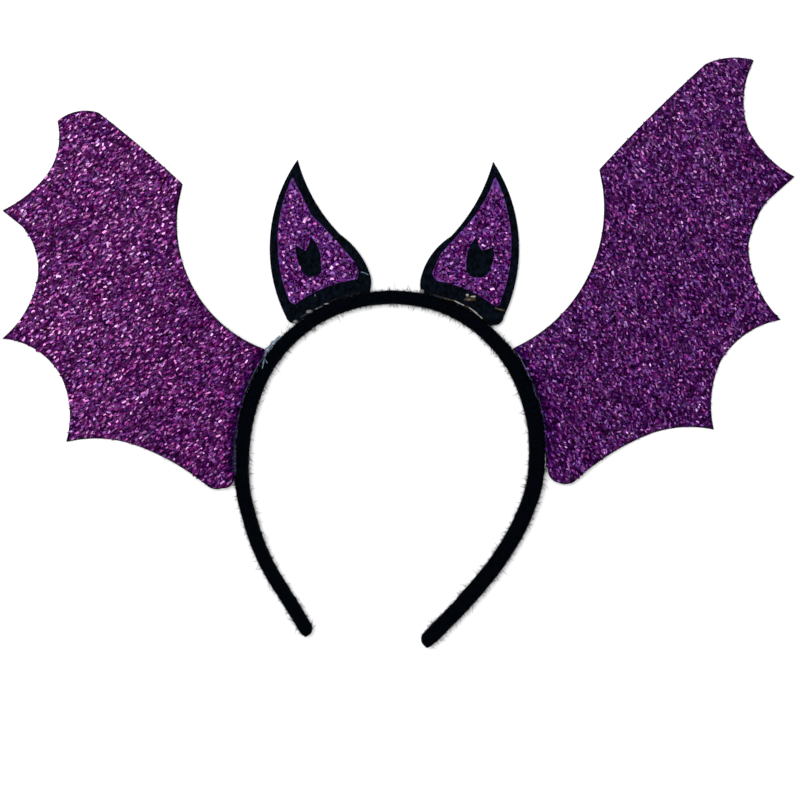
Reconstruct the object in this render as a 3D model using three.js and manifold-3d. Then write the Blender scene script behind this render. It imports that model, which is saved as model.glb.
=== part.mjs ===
// A bat costume headband: a velvet-covered hoop that carries two wings and two ears.
//
// Each wing and ear is a black felt sheet with a purple glitter sheet laid on its front, and it
// stands on the hoop's outer face, held by a bead of hot-melt glue. Millimetres, +Z up.
// The headband lies on its back: the hoop's rear edge and the outer parts of the wings rest on
// z = 0, its front faces +Z, and +Y runs from the open end of the hoop to its crown.
// The origin is the middle of the whole outline's bounding box, on the resting surface.
// Left and right are those of someone who looks at the front.

import * as THREE from "three";
import { mergeVertices } from "three/addons/utils/BufferGeometryUtils.js";
import Module from "manifold-3d";

const wasm = await Module();
wasm.setup();

// Hoop sizes
const HOOP_SPAN = 130; // outside to outside at the widest place
const HOOP_DROP = 144.5; // from the crown's middle line down to the end of the longer arm
const HOOP_THICKNESS = 5.3; // from the head outwards, at the crown
const HOOP_WIDTH = 10; // from the rear edge to the front edge
const HOOP_EDGE_FLAT = 2.4; // flat strip along the rear and front edges
const HOOP_CORNER = 2.6; // how far the rounded corners reach along the width
const ARM_END_ROUND = 3.2; // length of the rounded nose at each arm's end
const ARM_END_BLUNT = 0.4; // share of the section that is left at the very end

// Sheet sizes
const FELT = 1.6; // thickness of the black felt
const WING_SHEET = 1.1; // thickness of the glitter sheet on a wing
const EAR_SHEET = 1.4; // thickness of the glitter sheet on an ear
const GAP = 0.3; // clearance between neighbouring pieces
const WING_RIM = 0.45; // felt that shows all round a wing's glitter sheet

// Wing and ear sizes
const LEFT_WING_REACH = 111.5; // from the hoop's outer face to the outermost claw
const LEFT_WING_HEIGHT = 158.8; // from the heel to the top
const RIGHT_WING_REACH = 117.8;
const RIGHT_WING_HEIGHT = 178.9;
const WING_FLAT = 9; // stays level for this distance from the root's chord
const WING_FALL = 45; // then comes down to the resting surface over this distance
const EAR_WIDTH = 42.4;
const EAR_HEIGHT = 68.5;
const EAR_FLAT = 6; // stays level for this distance, then droops towards its point

// Glue sizes
const BEAD = 0.9; // diameter of the hot-melt bead
const BEAD_WAVE = 0.16; // share by which the bead swells and thins
const BEAD_WAVE_LENGTH = 7;
const BEAD_END = 0.5; // share of the bead's thickness at its two ends

// How finely curves are divided
const LINE_STEPS = 50; // for measuring the hoop's middle line, between two of its rows
const HOOP_STEPS = 72;
const CORNER_STEPS = 3;
const END_STEPS = 4;
const ARC_STEP = 3.5; // longest piece of an outline's arc
const BEND_STEPS = 10;
const BEAD_SIDES = 6;
const BEAD_STEP = 3;
const MITRE_LIMIT = 0.25; // keeps a sharp corner from shooting out when an outline is shrunk
const ROUNDING = 1e-9;

// The hoop's middle line, from the end of the left arm over the crown to the end of the right one.
// across is a share of half the middle line's span, down a share of HOOP_DROP below the crown,
// and thick a share of HOOP_THICKNESS.
const HOOP_ROWS = [
  { across: -0.532, down: 0.978, thick: 1.0 },
  { across: -0.673, down: 0.879, thick: 1.04 },
  { across: -0.832, down: 0.763, thick: 1.05 },
  { across: -0.933, down: 0.647, thick: 1.05 },
  { across: -0.988, down: 0.525, thick: 1.06 },
  { across: -0.949, down: 0.34, thick: 1.05 },
  { across: -0.77, down: 0.17, thick: 1.03 },
  { across: -0.434, down: 0.047, thick: 1.0 },
  { across: 0.0, down: 0.0, thick: 1.0 },
  { across: 0.444, down: 0.04, thick: 1.03 },
  { across: 0.791, down: 0.164, thick: 1.16 },
  { across: 0.972, down: 0.337, thick: 1.2 },
  { across: 0.988, down: 0.524, thick: 1.22 },
  { across: 0.895, down: 0.648, thick: 1.2 },
  { across: 0.735, down: 0.765, thick: 1.2 },
  { across: 0.514, down: 0.881, thick: 1.2 },
  { across: 0.244, down: 1.0, thick: 1.15 },
];

// Outlines run from the root's upper end round to its lower end, seen on the right-hand side.
// out and up are shares of the piece's own reach or width and of its height, from its datum on the
// hoop's outer face. bow is how far the edge to the next row bulges outwards, as a share of that
// edge's length, and a scooped edge has a minus.
const LEFT_WING_ROWS = [
  { place: "neck", out: 0.015, up: 0.006, bow: -0.2 },
  { place: "shoulder", out: 0.328, up: 0.444, bow: 0.012 },
  { place: "crest", out: 0.645, up: 0.633, bow: 0.13 },
  { place: "tip", out: 0.795, up: 0.611, bow: -0.17 },
  { place: "upper claw", out: 1.0, up: 0.373, bow: -0.255 },
  { place: "middle claw", out: 0.996, up: 0.036, bow: -0.225 },
  { place: "lower claw", out: 0.762, up: -0.239, bow: -0.115 },
  { place: "heel", out: 0.232, up: -0.352, bow: 0.14 },
  { place: "heel turn", out: 0.177, up: -0.36, bow: 0.2 },
  { place: "heel end", out: 0.136, up: -0.342, bow: 0 },
];
const RIGHT_WING_ROWS = [
  { place: "neck", out: 0.015, up: 0.005, bow: -0.18 },
  { place: "shoulder", out: 0.315, up: 0.418, bow: 0.016 },
  { place: "crest", out: 0.693, up: 0.67, bow: 0.09 },
  { place: "tip", out: 0.86, up: 0.675, bow: -0.2 },
  { place: "upper claw", out: 1.0, up: 0.404, bow: -0.245 },
  { place: "middle claw", out: 0.954, up: 0.067, bow: -0.217 },
  { place: "lower claw", out: 0.715, up: -0.191, bow: -0.115 },
  { place: "heel", out: 0.225, up: -0.3085, bow: 0.14 },
  { place: "heel turn", out: 0.166, up: -0.313, bow: 0.2 },
  { place: "heel end", out: 0.13, up: -0.279, bow: 0 },
];
const EAR_ROWS = [
  { place: "toe, inside the hoop", out: -0.39, up: 0.0, bow: 0 },
  { place: "toe", out: -0.4, up: 0.075, bow: 0.06 },
  { place: "bulge", out: -0.41, up: 0.167, bow: 0.1 },
  { place: "elbow", out: -0.108, up: 0.426, bow: -0.08 },
  { place: "point", out: 0.313, up: 0.878, bow: 0.134 },
  { place: "heel", out: 0.428, up: -0.079, bow: 0.18 },
  { place: "heel turn", out: 0.339, up: -0.118, bow: 0 },
  { place: "heel, inside the hoop", out: 0.27, up: -0.125, bow: 0 },
];
const EAR_SHEET_ROWS = [
  { place: "lower inner corner", out: -0.3, up: 0.155, bow: 0.1 },
  { place: "upper inner corner", out: -0.304, up: 0.207, bow: 0 },
  { place: "inner shoulder", out: -0.252, up: 0.254, bow: 0.02 },
  { place: "waist", out: 0.079, up: 0.479, bow: -0.03 },
  { place: "point", out: 0.362, up: 0.765, bow: 0.105 },
  { place: "outer corner", out: 0.405, up: 0.035, bow: 0.15 },
  { place: "bottom corner", out: 0.337, up: -0.004, bow: -0.064 },
];
const EAR_CUT_ROWS = [
  { place: "short point", out: 0.328, up: 0.36, bow: 0.02 },
  { place: "notch", out: 0.208, up: 0.323, bow: 0.1 },
  { place: "long point", out: 0.153, up: 0.405, bow: -0.11 },
  { place: "inner side", out: 0.05, up: 0.24, bow: -0.25 },
  { place: "bottom", out: 0.139, up: 0.166, bow: -0.2 },
  { place: "outer side", out: 0.277, up: 0.222, bow: -0.05 },
];

// Where each wing and ear sits. Places along the hoop are shares of its middle line's length,
// counted from the end of the left arm. lift is how far an ear's datum stands off the hoop.
const WINGS = [
  {
    name: "left_wing", side: -1, upper: 0.3346, lower: 0.201,
    reach: LEFT_WING_REACH, height: LEFT_WING_HEIGHT, rows: LEFT_WING_ROWS,
  },
  {
    name: "right_wing", side: 1, upper: 0.6314, lower: 0.7582,
    reach: RIGHT_WING_REACH, height: RIGHT_WING_HEIGHT, rows: RIGHT_WING_ROWS,
  },
];
const EARS = [
  { name: "left_ear", side: -1, seat: 0.4168, lift: 0, beadFrom: 0.38, beadTo: 0.4545 },
  { name: "right_ear", side: 1, seat: 0.5625, lift: 0.5, beadFrom: 0.5235, beadTo: 0.594 },
];

const VELVET = new THREE.MeshStandardMaterial({ color: 0x08090c, roughness: 0.95, metalness: 0 });
const BLACK_FELT = new THREE.MeshStandardMaterial({ color: 0x0b0f17, roughness: 0.9, metalness: 0 });
const WING_GLITTER = new THREE.MeshStandardMaterial({ color: 0x5b2068, roughness: 0.35, metalness: 0.6 });
const EAR_GLITTER = new THREE.MeshStandardMaterial({ color: 0x6d2c86, roughness: 0.4, metalness: 0.4 });
const GLUE = new THREE.MeshStandardMaterial({ color: 0xa9a79c, roughness: 0.25, metalness: 0 });

// A closed geometry as a solid that can be cut and joined, and back again.
function solidOf(geometry) {
  const bare = geometry.index ? geometry.toNonIndexed() : geometry.clone();
  bare.deleteAttribute("normal");
  bare.deleteAttribute("uv");
  const merged = mergeVertices(bare, 1e-4);
  return new wasm.Manifold(
    new wasm.Mesh({
      numProp: 3,
      vertProperties: merged.attributes.position.array,
      triVerts: new Uint32Array(merged.index.array),
    }),
  );
}

function geometryOf(solid) {
  const mesh = solid.getMesh();
  const geometry = new THREE.BufferGeometry();
  geometry.setAttribute("position", new THREE.BufferAttribute(mesh.vertProperties, 3));
  geometry.setIndex(new THREE.BufferAttribute(mesh.triVerts, 1));
  geometry.computeVertexNormals();
  return geometry;
}

// A closed skin through rings of equally many points, each running anticlockwise as seen by
// someone towards whom the rings advance.
function loft(rings) {
  const sides = rings[0].length;
  const faces = [];
  for (let i = 0; i + 1 < rings.length; i++) {
    for (let j = 0; j < sides; j++) {
      const a = i * sides + j;
      const b = i * sides + ((j + 1) % sides);
      faces.push(a, b, b + sides, a, b + sides, a + sides);
    }
  }
  const last = (rings.length - 1) * sides;
  for (let j = 1; j + 1 < sides; j++) {
    faces.push(0, j + 1, j);
    faces.push(last, last + j, last + j + 1);
  }
  const geometry = new THREE.BufferGeometry().setFromPoints(rings.flat());
  geometry.setIndex(faces);
  geometry.computeVertexNormals();
  return geometry;
}

// The hoop's middle line and what is measured from it.
const HALF_SPAN = (HOOP_SPAN - HOOP_THICKNESS * HOOP_ROWS[4].thick) / 2;
const middleLine = new THREE.CatmullRomCurve3(
  HOOP_ROWS.map((row) => new THREE.Vector3(row.across * HALF_SPAN, -row.down * HOOP_DROP, 0)),
  false,
  "centripetal",
);
middleLine.arcLengthDivisions = LINE_STEPS * (HOOP_ROWS.length - 1);
const LINE_LENGTH = middleLine.getLength();

// Each row's place along the middle line, as a share of its length.
const lengths = middleLine.getLengths();
const ROW_PLACES = HOOP_ROWS.map((_, i) => lengths[i * LINE_STEPS] / LINE_LENGTH);

function thicknessAt(place) {
  const next = Math.max(1, ROW_PLACES.findIndex((p) => p >= place - ROUNDING));
  const share = (place - ROW_PLACES[next - 1]) / (ROW_PLACES[next] - ROW_PLACES[next - 1]);
  return HOOP_THICKNESS * THREE.MathUtils.lerp(HOOP_ROWS[next - 1].thick, HOOP_ROWS[next].thick, share);
}

function outwardAt(place) {
  const tangent = middleLine.getTangentAt(place);
  return new THREE.Vector3(-tangent.y, tangent.x, 0);
}

// A point that lies off the hoop's outer face by the given distance.
function offOuterFace(place, distance) {
  return middleLine.getPointAt(place).addScaledVector(outwardAt(place), thicknessAt(place) / 2 + distance);
}

// The hoop's sections: place along the line, and scale, which falls at the arms' rounded ends.
function hoopSections() {
  const sections = [];
  const round = ARM_END_ROUND / LINE_LENGTH;
  for (let k = 0; k < END_STEPS; k++) {
    const turn = ((k / END_STEPS) * Math.PI) / 2;
    sections.push({
      place: round * (1 - Math.cos(turn)),
      scale: ARM_END_BLUNT + (1 - ARM_END_BLUNT) * Math.sin(turn),
    });
  }
  const otherEnd = sections.map(({ place, scale }) => ({ place: 1 - place, scale })).reverse();
  for (let k = 0; k <= HOOP_STEPS; k++) {
    sections.push({ place: round + ((1 - 2 * round) * k) / HOOP_STEPS, scale: 1 });
  }
  return [...sections, ...otherEnd];
}

// One rounded section of the hoop: flat along both edges, with elliptical corners.
function hoopRing({ place, scale }) {
  const centre = middleLine.getPointAt(place);
  const outward = outwardAt(place);
  const cornerAcross = (thicknessAt(place) - HOOP_EDGE_FLAT) / 2;
  const ring = [];
  for (let quarter = 0; quarter < 4; quarter++) {
    const across = quarter === 0 || quarter === 3 ? 1 : -1;
    const along = quarter < 2 ? 1 : -1;
    for (let k = 0; k <= CORNER_STEPS; k++) {
      const turn = ((quarter + k / CORNER_STEPS) * Math.PI) / 2;
      const n = (across * HOOP_EDGE_FLAT) / 2 + cornerAcross * Math.cos(turn);
      const z = along * (HOOP_WIDTH / 2 - HOOP_CORNER) + HOOP_CORNER * Math.sin(turn);
      const point = centre.clone().addScaledVector(outward, n * scale);
      point.z = HOOP_WIDTH / 2 + z * scale;
      ring.push(point);
    }
  }
  return ring;
}

function buildHoop() {
  const mesh = new THREE.Mesh(loft(hoopSections().map(hoopRing)), VELVET);
  mesh.name = "hoop";
  return mesh;
}

// A tall block as wide as the outline, from below the resting surface to above the hoop.
function prism(points, holes = []) {
  const shape = new THREE.Shape(points);
  shape.holes = holes.map((hole) => new THREE.Path(hole));
  const margin = HOOP_WIDTH;
  const depth = HOOP_WIDTH + 2 * margin;
  const geometry = new THREE.ExtrudeGeometry(shape, { depth, bevelEnabled: false });
  geometry.translate(0, 0, -margin);
  return solidOf(geometry);
}

// Everything inside the hoop's outer face, grown by a distance: what stands on the hoop ends here.
function hoopBlock(distance) {
  return prism(
    hoopSections().map(({ place, scale }) => {
      const centre = middleLine.getPointAt(place);
      const reach = (thicknessAt(place) / 2) * scale + distance;
      const point = centre.addScaledVector(outwardAt(place), reach);
      return new THREE.Vector2(point.x, point.y);
    }),
  );
}

// The points of an outline given by rows of corners, with each bowed edge as a circular arc.
function outlineOf(rows, datum, side, width, height) {
  const corners = rows.map(({ out, up }) => new THREE.Vector2(out * width, up * height));
  const points = [];
  corners.forEach((from, i) => {
    const to = corners[(i + 1) % corners.length];
    const chord = to.clone().sub(from);
    const length = chord.length();
    const leftward = new THREE.Vector2(-chord.y, chord.x).divideScalar(length);
    const bow = rows[i].bow;
    const half = 2 * Math.atan(2 * bow);
    const steps = bow === 0 ? 1 : Math.max(3, Math.ceil(length / ARC_STEP));
    for (let k = 0; k < steps; k++) {
      const turn = half * ((2 * k) / steps - 1);
      const along = bow === 0 ? k / steps : 0.5 + Math.sin(turn) / (2 * Math.sin(half));
      const rise = bow === 0 ? 0 : (Math.cos(turn) - Math.cos(half)) / (2 * Math.sin(half));
      const point = from.clone().addScaledVector(chord, along);
      points.push(point.addScaledVector(leftward, rise * length));
    }
  });
  return points.map((p) => new THREE.Vector2(datum.x + side * p.x, datum.y + p.y));
}

// The same closed outline, moved inwards by a distance.
function shrink(points, distance) {
  const inwards = THREE.ShapeUtils.isClockWise(points) ? -1 : 1;
  return points.map((point, i) => {
    const before = points[(i + points.length - 1) % points.length];
    const after = points[(i + 1) % points.length];
    const u = point.clone().sub(before).normalize();
    const v = after.clone().sub(point).normalize();
    const across = new THREE.Vector2(-(u.y + v.y), u.x + v.x).normalize();
    const mitre = Math.max(MITRE_LIMIT, across.x * -u.y + across.y * u.x);
    return point.clone().addScaledVector(across, (inwards * distance) / mitre);
  });
}

// A bent sheet as wide as needed: level near its root, then easing down to lie on the surface.
function bentSlab({ from, along, flat, fall, height, half, reach }, above, thickness) {
  const left = new THREE.Vector3(-along.y, along.x, 0);
  const stations = [{ s: -half, drop: 0 }];
  for (let k = 0; k <= BEND_STEPS; k++) {
    const share = k / BEND_STEPS;
    stations.push({ s: flat + fall * share, drop: (1 - Math.cos(Math.PI * share)) / 2 });
  }
  stations.push({ s: reach, drop: 1 });
  return solidOf(
    loft(
      stations.map(({ s, drop }) => {
        const middle = from.clone().addScaledVector(along, s);
        const bottom = height * (1 - drop) + above;
        const corner = (sideways, z) => middle.clone().addScaledVector(left, sideways).setZ(z);
        return [
          corner(half, bottom),
          corner(half, bottom + thickness),
          corner(-half, bottom + thickness),
          corner(-half, bottom),
        ];
      }),
    ),
  );
}

// One layer of a wing or ear: the bent slab, cut to its outline and back from the hoop.
function layer(name, material, slab, outline, clearance) {
  const cut = slab.intersect(outline).subtract(hoopBlock(clearance));
  const mesh = new THREE.Mesh(geometryOf(cut), material);
  mesh.name = name;
  return mesh;
}

// A glue bead along the hoop's outer face, lying on the felt.
function buildBead(name, from, to, feltTop) {
  const steps = Math.max(4, Math.round((Math.abs(to - from) * LINE_LENGTH) / BEAD_STEP));
  const rings = [];
  for (let i = 0; i <= steps; i++) {
    const place = Math.min(from, to) + (Math.abs(to - from) * i) / steps;
    const wave = 1 - BEAD_WAVE * (1 + Math.cos((2 * Math.PI * place * LINE_LENGTH) / BEAD_WAVE_LENGTH));
    const end = i === 0 || i === steps ? BEAD_END : 1;
    const radius = (BEAD / 2) * wave * end;
    const outward = outwardAt(place);
    const centre = offOuterFace(place, GAP + BEAD / 2).setZ(feltTop + GAP + BEAD / 2);
    const ring = [];
    for (let k = 0; k < BEAD_SIDES; k++) {
      const turn = (2 * Math.PI * k) / BEAD_SIDES;
      const point = centre.clone().addScaledVector(outward, radius * Math.cos(turn));
      point.z += radius * Math.sin(turn);
      ring.push(point);
    }
    rings.push(ring);
  }
  const mesh = new THREE.Mesh(loft(rings), GLUE);
  mesh.name = name;
  return mesh;
}

// Sheets meet the hoop in the middle of its width.
const WING_ROOT = (HOOP_WIDTH - FELT - GAP - WING_SHEET) / 2;
const EAR_ROOT = (HOOP_WIDTH - FELT - GAP - EAR_SHEET) / 2;
const BEAD_STRIP = BEAD + 2 * GAP; // felt left bare for the bead, measured from the hoop

function buildWing({ name, side, upper, lower, reach, height, rows }) {
  const top = offOuterFace(upper, 0);
  const bottom = offOuterFace(lower, 0);
  const chord = bottom.clone().sub(top).normalize();
  const along = new THREE.Vector3(-side * chord.y, side * chord.x, 0);
  const bend = {
    from: top, along, flat: WING_FLAT, fall: WING_FALL, height: WING_ROOT,
    half: reach + height, reach: reach + height,
  };
  const edge = outlineOf(rows, top, side, reach, height);
  const closing = [lower, upper].map((place) => middleLine.getPointAt(place));
  const outline = [...edge.slice(0, -1), ...closing.map((p) => new THREE.Vector2(p.x, p.y))];
  const group = new THREE.Group();
  group.add(
    layer(name + "_felt", BLACK_FELT, bentSlab(bend, 0, FELT), prism(outline), GAP),
    layer(
      name + "_glitter",
      WING_GLITTER,
      bentSlab(bend, FELT + GAP, WING_SHEET),
      prism(shrink(outline, WING_RIM)),
      BEAD_STRIP,
    ),
    buildBead(name + "_glue", upper, lower, WING_ROOT + FELT),
  );
  return group;
}

function buildEar({ name, side, seat, lift, beadFrom, beadTo }) {
  const datum = offOuterFace(seat, 0).add(new THREE.Vector3(0, lift, 0));
  const along = outwardAt(seat);
  const outline = outlineOf(EAR_ROWS, datum, side, EAR_WIDTH, EAR_HEIGHT);
  const length = Math.max(...outline.map((p) => (p.x - datum.x) * along.x + (p.y - datum.y) * along.y));
  const bend = {
    from: datum, along, flat: EAR_FLAT, fall: length - EAR_FLAT, height: EAR_ROOT,
    half: EAR_WIDTH + EAR_HEIGHT, reach: length + EAR_FLAT,
  };
  const sheet = outlineOf(EAR_SHEET_ROWS, datum, side, EAR_WIDTH, EAR_HEIGHT);
  const cut = outlineOf(EAR_CUT_ROWS, datum, side, EAR_WIDTH, EAR_HEIGHT);
  const group = new THREE.Group();
  group.add(
    layer(name + "_felt", BLACK_FELT, bentSlab(bend, 0, FELT), prism(outline), GAP),
    layer(
      name + "_glitter",
      EAR_GLITTER,
      bentSlab(bend, FELT + GAP, EAR_SHEET),
      prism(sheet, [cut]),
      BEAD_STRIP,
    ),
    buildBead(name + "_glue", beadFrom, beadTo, EAR_ROOT + FELT),
  );
  return group;
}

const headband = new THREE.Group();
headband.add(buildHoop(), ...WINGS.map(buildWing), ...EARS.map(buildEar));

// The origin goes to the middle of the footprint, on the resting surface.
const extent = new THREE.Box3().setFromObject(headband);
const middle = extent.getCenter(new THREE.Vector3());
headband.position.set(-middle.x, -middle.y, -extent.min.z);

export default headband;
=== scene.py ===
"""A bat costume headband: the looks of a velvet hoop, two glitter wings and two felt ears.

The shapes are worked out in millimetres, in the frame's own axes, and become metres when a mesh
is made. The headband lies on its back: its front faces +Z and its crown points along +Y.
"""
import math
from collections import namedtuple

import bpy
import numpy as np
from bpy.props import FloatProperty, FloatVectorProperty, IntProperty, PointerProperty
from bpy.types import Operator, Panel, PropertyGroup
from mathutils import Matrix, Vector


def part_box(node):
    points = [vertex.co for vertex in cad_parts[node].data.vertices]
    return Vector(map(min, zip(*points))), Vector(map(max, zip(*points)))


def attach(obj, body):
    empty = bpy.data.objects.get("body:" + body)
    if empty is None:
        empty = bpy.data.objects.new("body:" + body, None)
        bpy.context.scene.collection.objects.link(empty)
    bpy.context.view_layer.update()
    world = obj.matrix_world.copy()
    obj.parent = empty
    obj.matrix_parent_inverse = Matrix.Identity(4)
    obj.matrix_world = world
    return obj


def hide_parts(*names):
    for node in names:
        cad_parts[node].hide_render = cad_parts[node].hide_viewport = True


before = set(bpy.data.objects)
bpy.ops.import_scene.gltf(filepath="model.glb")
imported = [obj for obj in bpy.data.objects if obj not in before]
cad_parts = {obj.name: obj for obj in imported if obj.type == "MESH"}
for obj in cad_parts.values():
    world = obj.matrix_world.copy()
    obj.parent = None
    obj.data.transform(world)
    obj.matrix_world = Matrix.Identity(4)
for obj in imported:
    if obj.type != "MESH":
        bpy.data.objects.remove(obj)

bl_info = {
    "name": "Bat Headband",
    "version": (1, 0, 0),
    "blender": (4, 5, 0),
    "location": "3D Viewport > Sidebar > Headband",
    "description": "Builds a costume headband with glitter wings and felt ears",
    "category": "Add Mesh",
}

MM = 0.001
TURN = 2 * math.pi

# The photo's frame
PHOTO_WIDTH_PX = 800
MM_PER_PX = 0.42
PHOTO_MIDDLE = (0.85, -20.4)

# The hoop, as the frame's solids have it
HOOP_SPAN = 130.0
HOOP_DROP = 144.5
HOOP_WIDTH = 10.0

# The arms' ends: how far from the end their rounding starts, how much of it is on the inner side,
# as a share, and how far the velvet of the right arm reaches past the middle line's end
ARM_END_ROUND = 4.6
ARM_END_LEAN = 0.5
RIGHT_ARM_EXTRA = 1.2

# Shares of half the middle line's span, of HOOP_DROP and of the hoop's thickness,
# from the end of the left arm over the crown to the end of the right one.
HoopRow = namedtuple("HoopRow", "across down thick")
HOOP_ROWS = [
    HoopRow(-0.532, 0.978, 1.0),
    HoopRow(-0.673, 0.879, 1.04),
    HoopRow(-0.832, 0.763, 1.05),
    HoopRow(-0.933, 0.647, 1.05),
    HoopRow(-0.988, 0.525, 1.06),
    HoopRow(-0.949, 0.34, 1.05),
    HoopRow(-0.77, 0.17, 1.03),
    HoopRow(-0.434, 0.047, 1.0),
    HoopRow(0.0, 0.0, 1.0),
    HoopRow(0.444, 0.04, 1.03),
    HoopRow(0.791, 0.164, 1.16),
    HoopRow(0.972, 0.337, 1.2),
    HoopRow(0.988, 0.524, 1.22),
    HoopRow(0.895, 0.648, 1.2),
    HoopRow(0.735, 0.765, 1.2),
    HoopRow(0.514, 0.881, 1.2),
    HoopRow(0.244, 1.0, 1.15),
]
WIDEST_ROW = 4

# Corners of an outline, as shares of the piece's reach or width and of its height from its datum
# on the hoop's outer face. bow is how far the edge to the next corner bulges, as a share of that
# edge's length, and a scooped edge has a minus.
Corner = namedtuple("Corner", "place out up bow")
LEFT_WING_CORNERS = [
    Corner("neck", 0.015, 0.006, -0.2),
    Corner("shoulder", 0.328, 0.444, 0.012),
    Corner("crest", 0.645, 0.633, 0.13),
    Corner("tip", 0.8, 0.611, -0.11),
    Corner("top scoop", 0.841, 0.468, -0.06),
    Corner("upper claw", 1.009, 0.374, -0.15),
    Corner("upper scoop", 0.873, 0.205, -0.095),
    Corner("middle claw", 1.009, 0.035, -0.125),
    Corner("middle scoop", 0.788, -0.063, -0.095),
    Corner("lower claw", 0.768, -0.239, -0.08),
    Corner("lower scoop", 0.479, -0.254, -0.04),
    Corner("heel", 0.234, -0.354, 0.14),
    Corner("heel turn", 0.177, -0.36, 0.2),
    Corner("heel end", 0.136, -0.342, 0.0),
]
RIGHT_WING_CORNERS = [
    Corner("neck", 0.015, 0.005, -0.18),
    Corner("shoulder", 0.314, 0.422, 0.012),
    Corner("crest", 0.693, 0.67, 0.09),
    Corner("tip", 0.866, 0.679, -0.1),
    Corner("top scoop", 0.843, 0.52, -0.08),
    Corner("upper claw", 1.012, 0.405, -0.115),
    Corner("upper scoop", 0.846, 0.243, -0.1),
    Corner("middle claw", 0.962, 0.069, -0.11),
    Corner("middle scoop", 0.748, -0.027, -0.085),
    Corner("lower claw", 0.723, -0.189, -0.085),
    Corner("lower scoop", 0.449, -0.212, -0.04),
    Corner("heel", 0.226, -0.309, 0.14),
    Corner("heel turn", 0.166, -0.313, 0.2),
    Corner("heel end", 0.13, -0.279, 0.0),
]
LEFT_EAR_CORNERS = [
    Corner("foot", -0.39, 0.0, 0.0),
    Corner("toe", -0.4, 0.075, 0.06),
    Corner("bulge", -0.41, 0.167, 0.085),
    Corner("elbow", -0.108, 0.426, -0.065),
    Corner("point", 0.316, 0.889, 0.138),
    Corner("heel", 0.428, -0.079, 0.18),
    Corner("heel turn", 0.339, -0.118, 0.0),
    Corner("heel end", 0.27, -0.125, 0.0),
]
RIGHT_EAR_CORNERS = [
    Corner("foot", -0.39, 0.0, 0.0),
    Corner("toe", -0.4, 0.075, 0.06),
    Corner("bulge", -0.41, 0.167, 0.1),
    Corner("elbow", -0.112, 0.428, -0.062),
    Corner("point", 0.309, 0.89, 0.131),
    Corner("heel", 0.413, -0.062, 0.2),
    Corner("heel turn", 0.318, -0.116, 0.0),
    Corner("heel end", 0.25, -0.122, 0.0),
]
LEFT_EAR_SHEET = [
    Corner("lower inner corner", -0.274, 0.15, 0.1),
    Corner("upper inner corner", -0.288, 0.2, 0.0),
    Corner("inner shoulder", -0.255, 0.254, 0.01),
    Corner("lower step", 0.143, 0.526, 0.0),
    Corner("upper step", 0.177, 0.546, 0.0),
    Corner("point", 0.365, 0.782, 0.105),
    Corner("outer corner", 0.405, 0.035, 0.15),
    Corner("bottom corner", 0.337, -0.004, -0.064),
]
RIGHT_EAR_SHEET = [
    Corner("lower inner corner", -0.235, 0.152, 0.1),
    Corner("upper inner corner", -0.297, 0.2, 0.02),
    Corner("inner shoulder", -0.205, 0.325, 0.0),
    Corner("waist", 0.06, 0.505, -0.055),
    Corner("point", 0.327, 0.803, 0.105),
    Corner("outer corner", 0.388, 0.04, 0.15),
    Corner("bottom corner", 0.332, -0.004, -0.064),
]
LEFT_EAR_CUT = [
    Corner("short point", 0.336, 0.365, 0.02),
    Corner("notch", 0.238, 0.325, 0.1),
    Corner("long point", 0.192, 0.418, -0.11),
    Corner("inner side", 0.082, 0.24, -0.25),
    Corner("bottom", 0.15, 0.166, -0.2),
    Corner("outer side", 0.287, 0.225, -0.05),
]
RIGHT_EAR_CUT = [
    Corner("short point", 0.322, 0.366, 0.02),
    Corner("notch", 0.2, 0.34, 0.1),
    Corner("long point", 0.148, 0.426, -0.11),
    Corner("inner side", 0.044, 0.25, -0.25),
    Corner("bottom", 0.145, 0.176, -0.2),
    Corner("outer side", 0.28, 0.232, -0.05),
]

# Where each wing and ear sits, with places as shares of the middle line's length. hub is the point
# from which the whole outline can be seen, as shares like a corner's. grain is the way that the
# flecks run, in degrees from +X, and scatter their spread about it. The crest is the layer of the
# brightest flecks, whose brightness is painted glints. Flecks lean to red where hue is above 0, are
# darker by dimming, and get brighter by rise over 100 mm along +Y.
Wing = namedtuple("Wing", "name side upper lower reach height corners hub cloth")
Cloth = namedtuple("Cloth", "grain scatter crest_pitch crest_size hue dimming rise seed")
WINGS = [
    Wing(
        "left_wing", -1, 0.3346, 0.201, 111.5, 158.8, LEFT_WING_CORNERS, (0.45, 0.06),
        Cloth(36, 13, 3.4, 0.94, 0.12, 0.014, 0.0, 11),
    ),
    Wing(
        "right_wing", 1, 0.6314, 0.7582, 117.8, 178.9, RIGHT_WING_CORNERS, (0.42, 0.06),
        Cloth(125, 30, 3.0, 0.86, -0.6, 0.085, 0.05, 12),
    ),
]
Ear = namedtuple("Ear", "name side seat lift bead_from bead_to dimming seed corners sheet cut")
EARS = [
    Ear(
        "left_ear", -1, 0.4168, 0.0, 0.38, 0.4545, 0.075, 21,
        LEFT_EAR_CORNERS, LEFT_EAR_SHEET, LEFT_EAR_CUT,
    ),
    Ear(
        "right_ear", 1, 0.5625, 0.5, 0.5235, 0.594, 0.125, 22,
        RIGHT_EAR_CORNERS, RIGHT_EAR_SHEET, RIGHT_EAR_CUT,
    ),
]

# The ears' size and hub, how far wings and ears stay level from the hoop on, over how much the
# wings then come down to the surface, and the gap between pieces that lie on each other
EAR_WIDTH = 42.4
EAR_HEIGHT = 68.5
EAR_HUB = (0.12, 0.22)
WING_FLAT = 9.0
WING_FALL = 45.0
EAR_FLAT = 6.0
GAP = 0.3

# How far the sheets' rims are rounded, and the angles up a rim at which it has points
FELT_ROUNDING = 0.5
SHEET_ROUNDING = 0.3
FOAM_ROUNDING = 0.25
RIM_ANGLES = np.radians([-60, -30, 0, 30, 60])[:, None, None]

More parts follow.
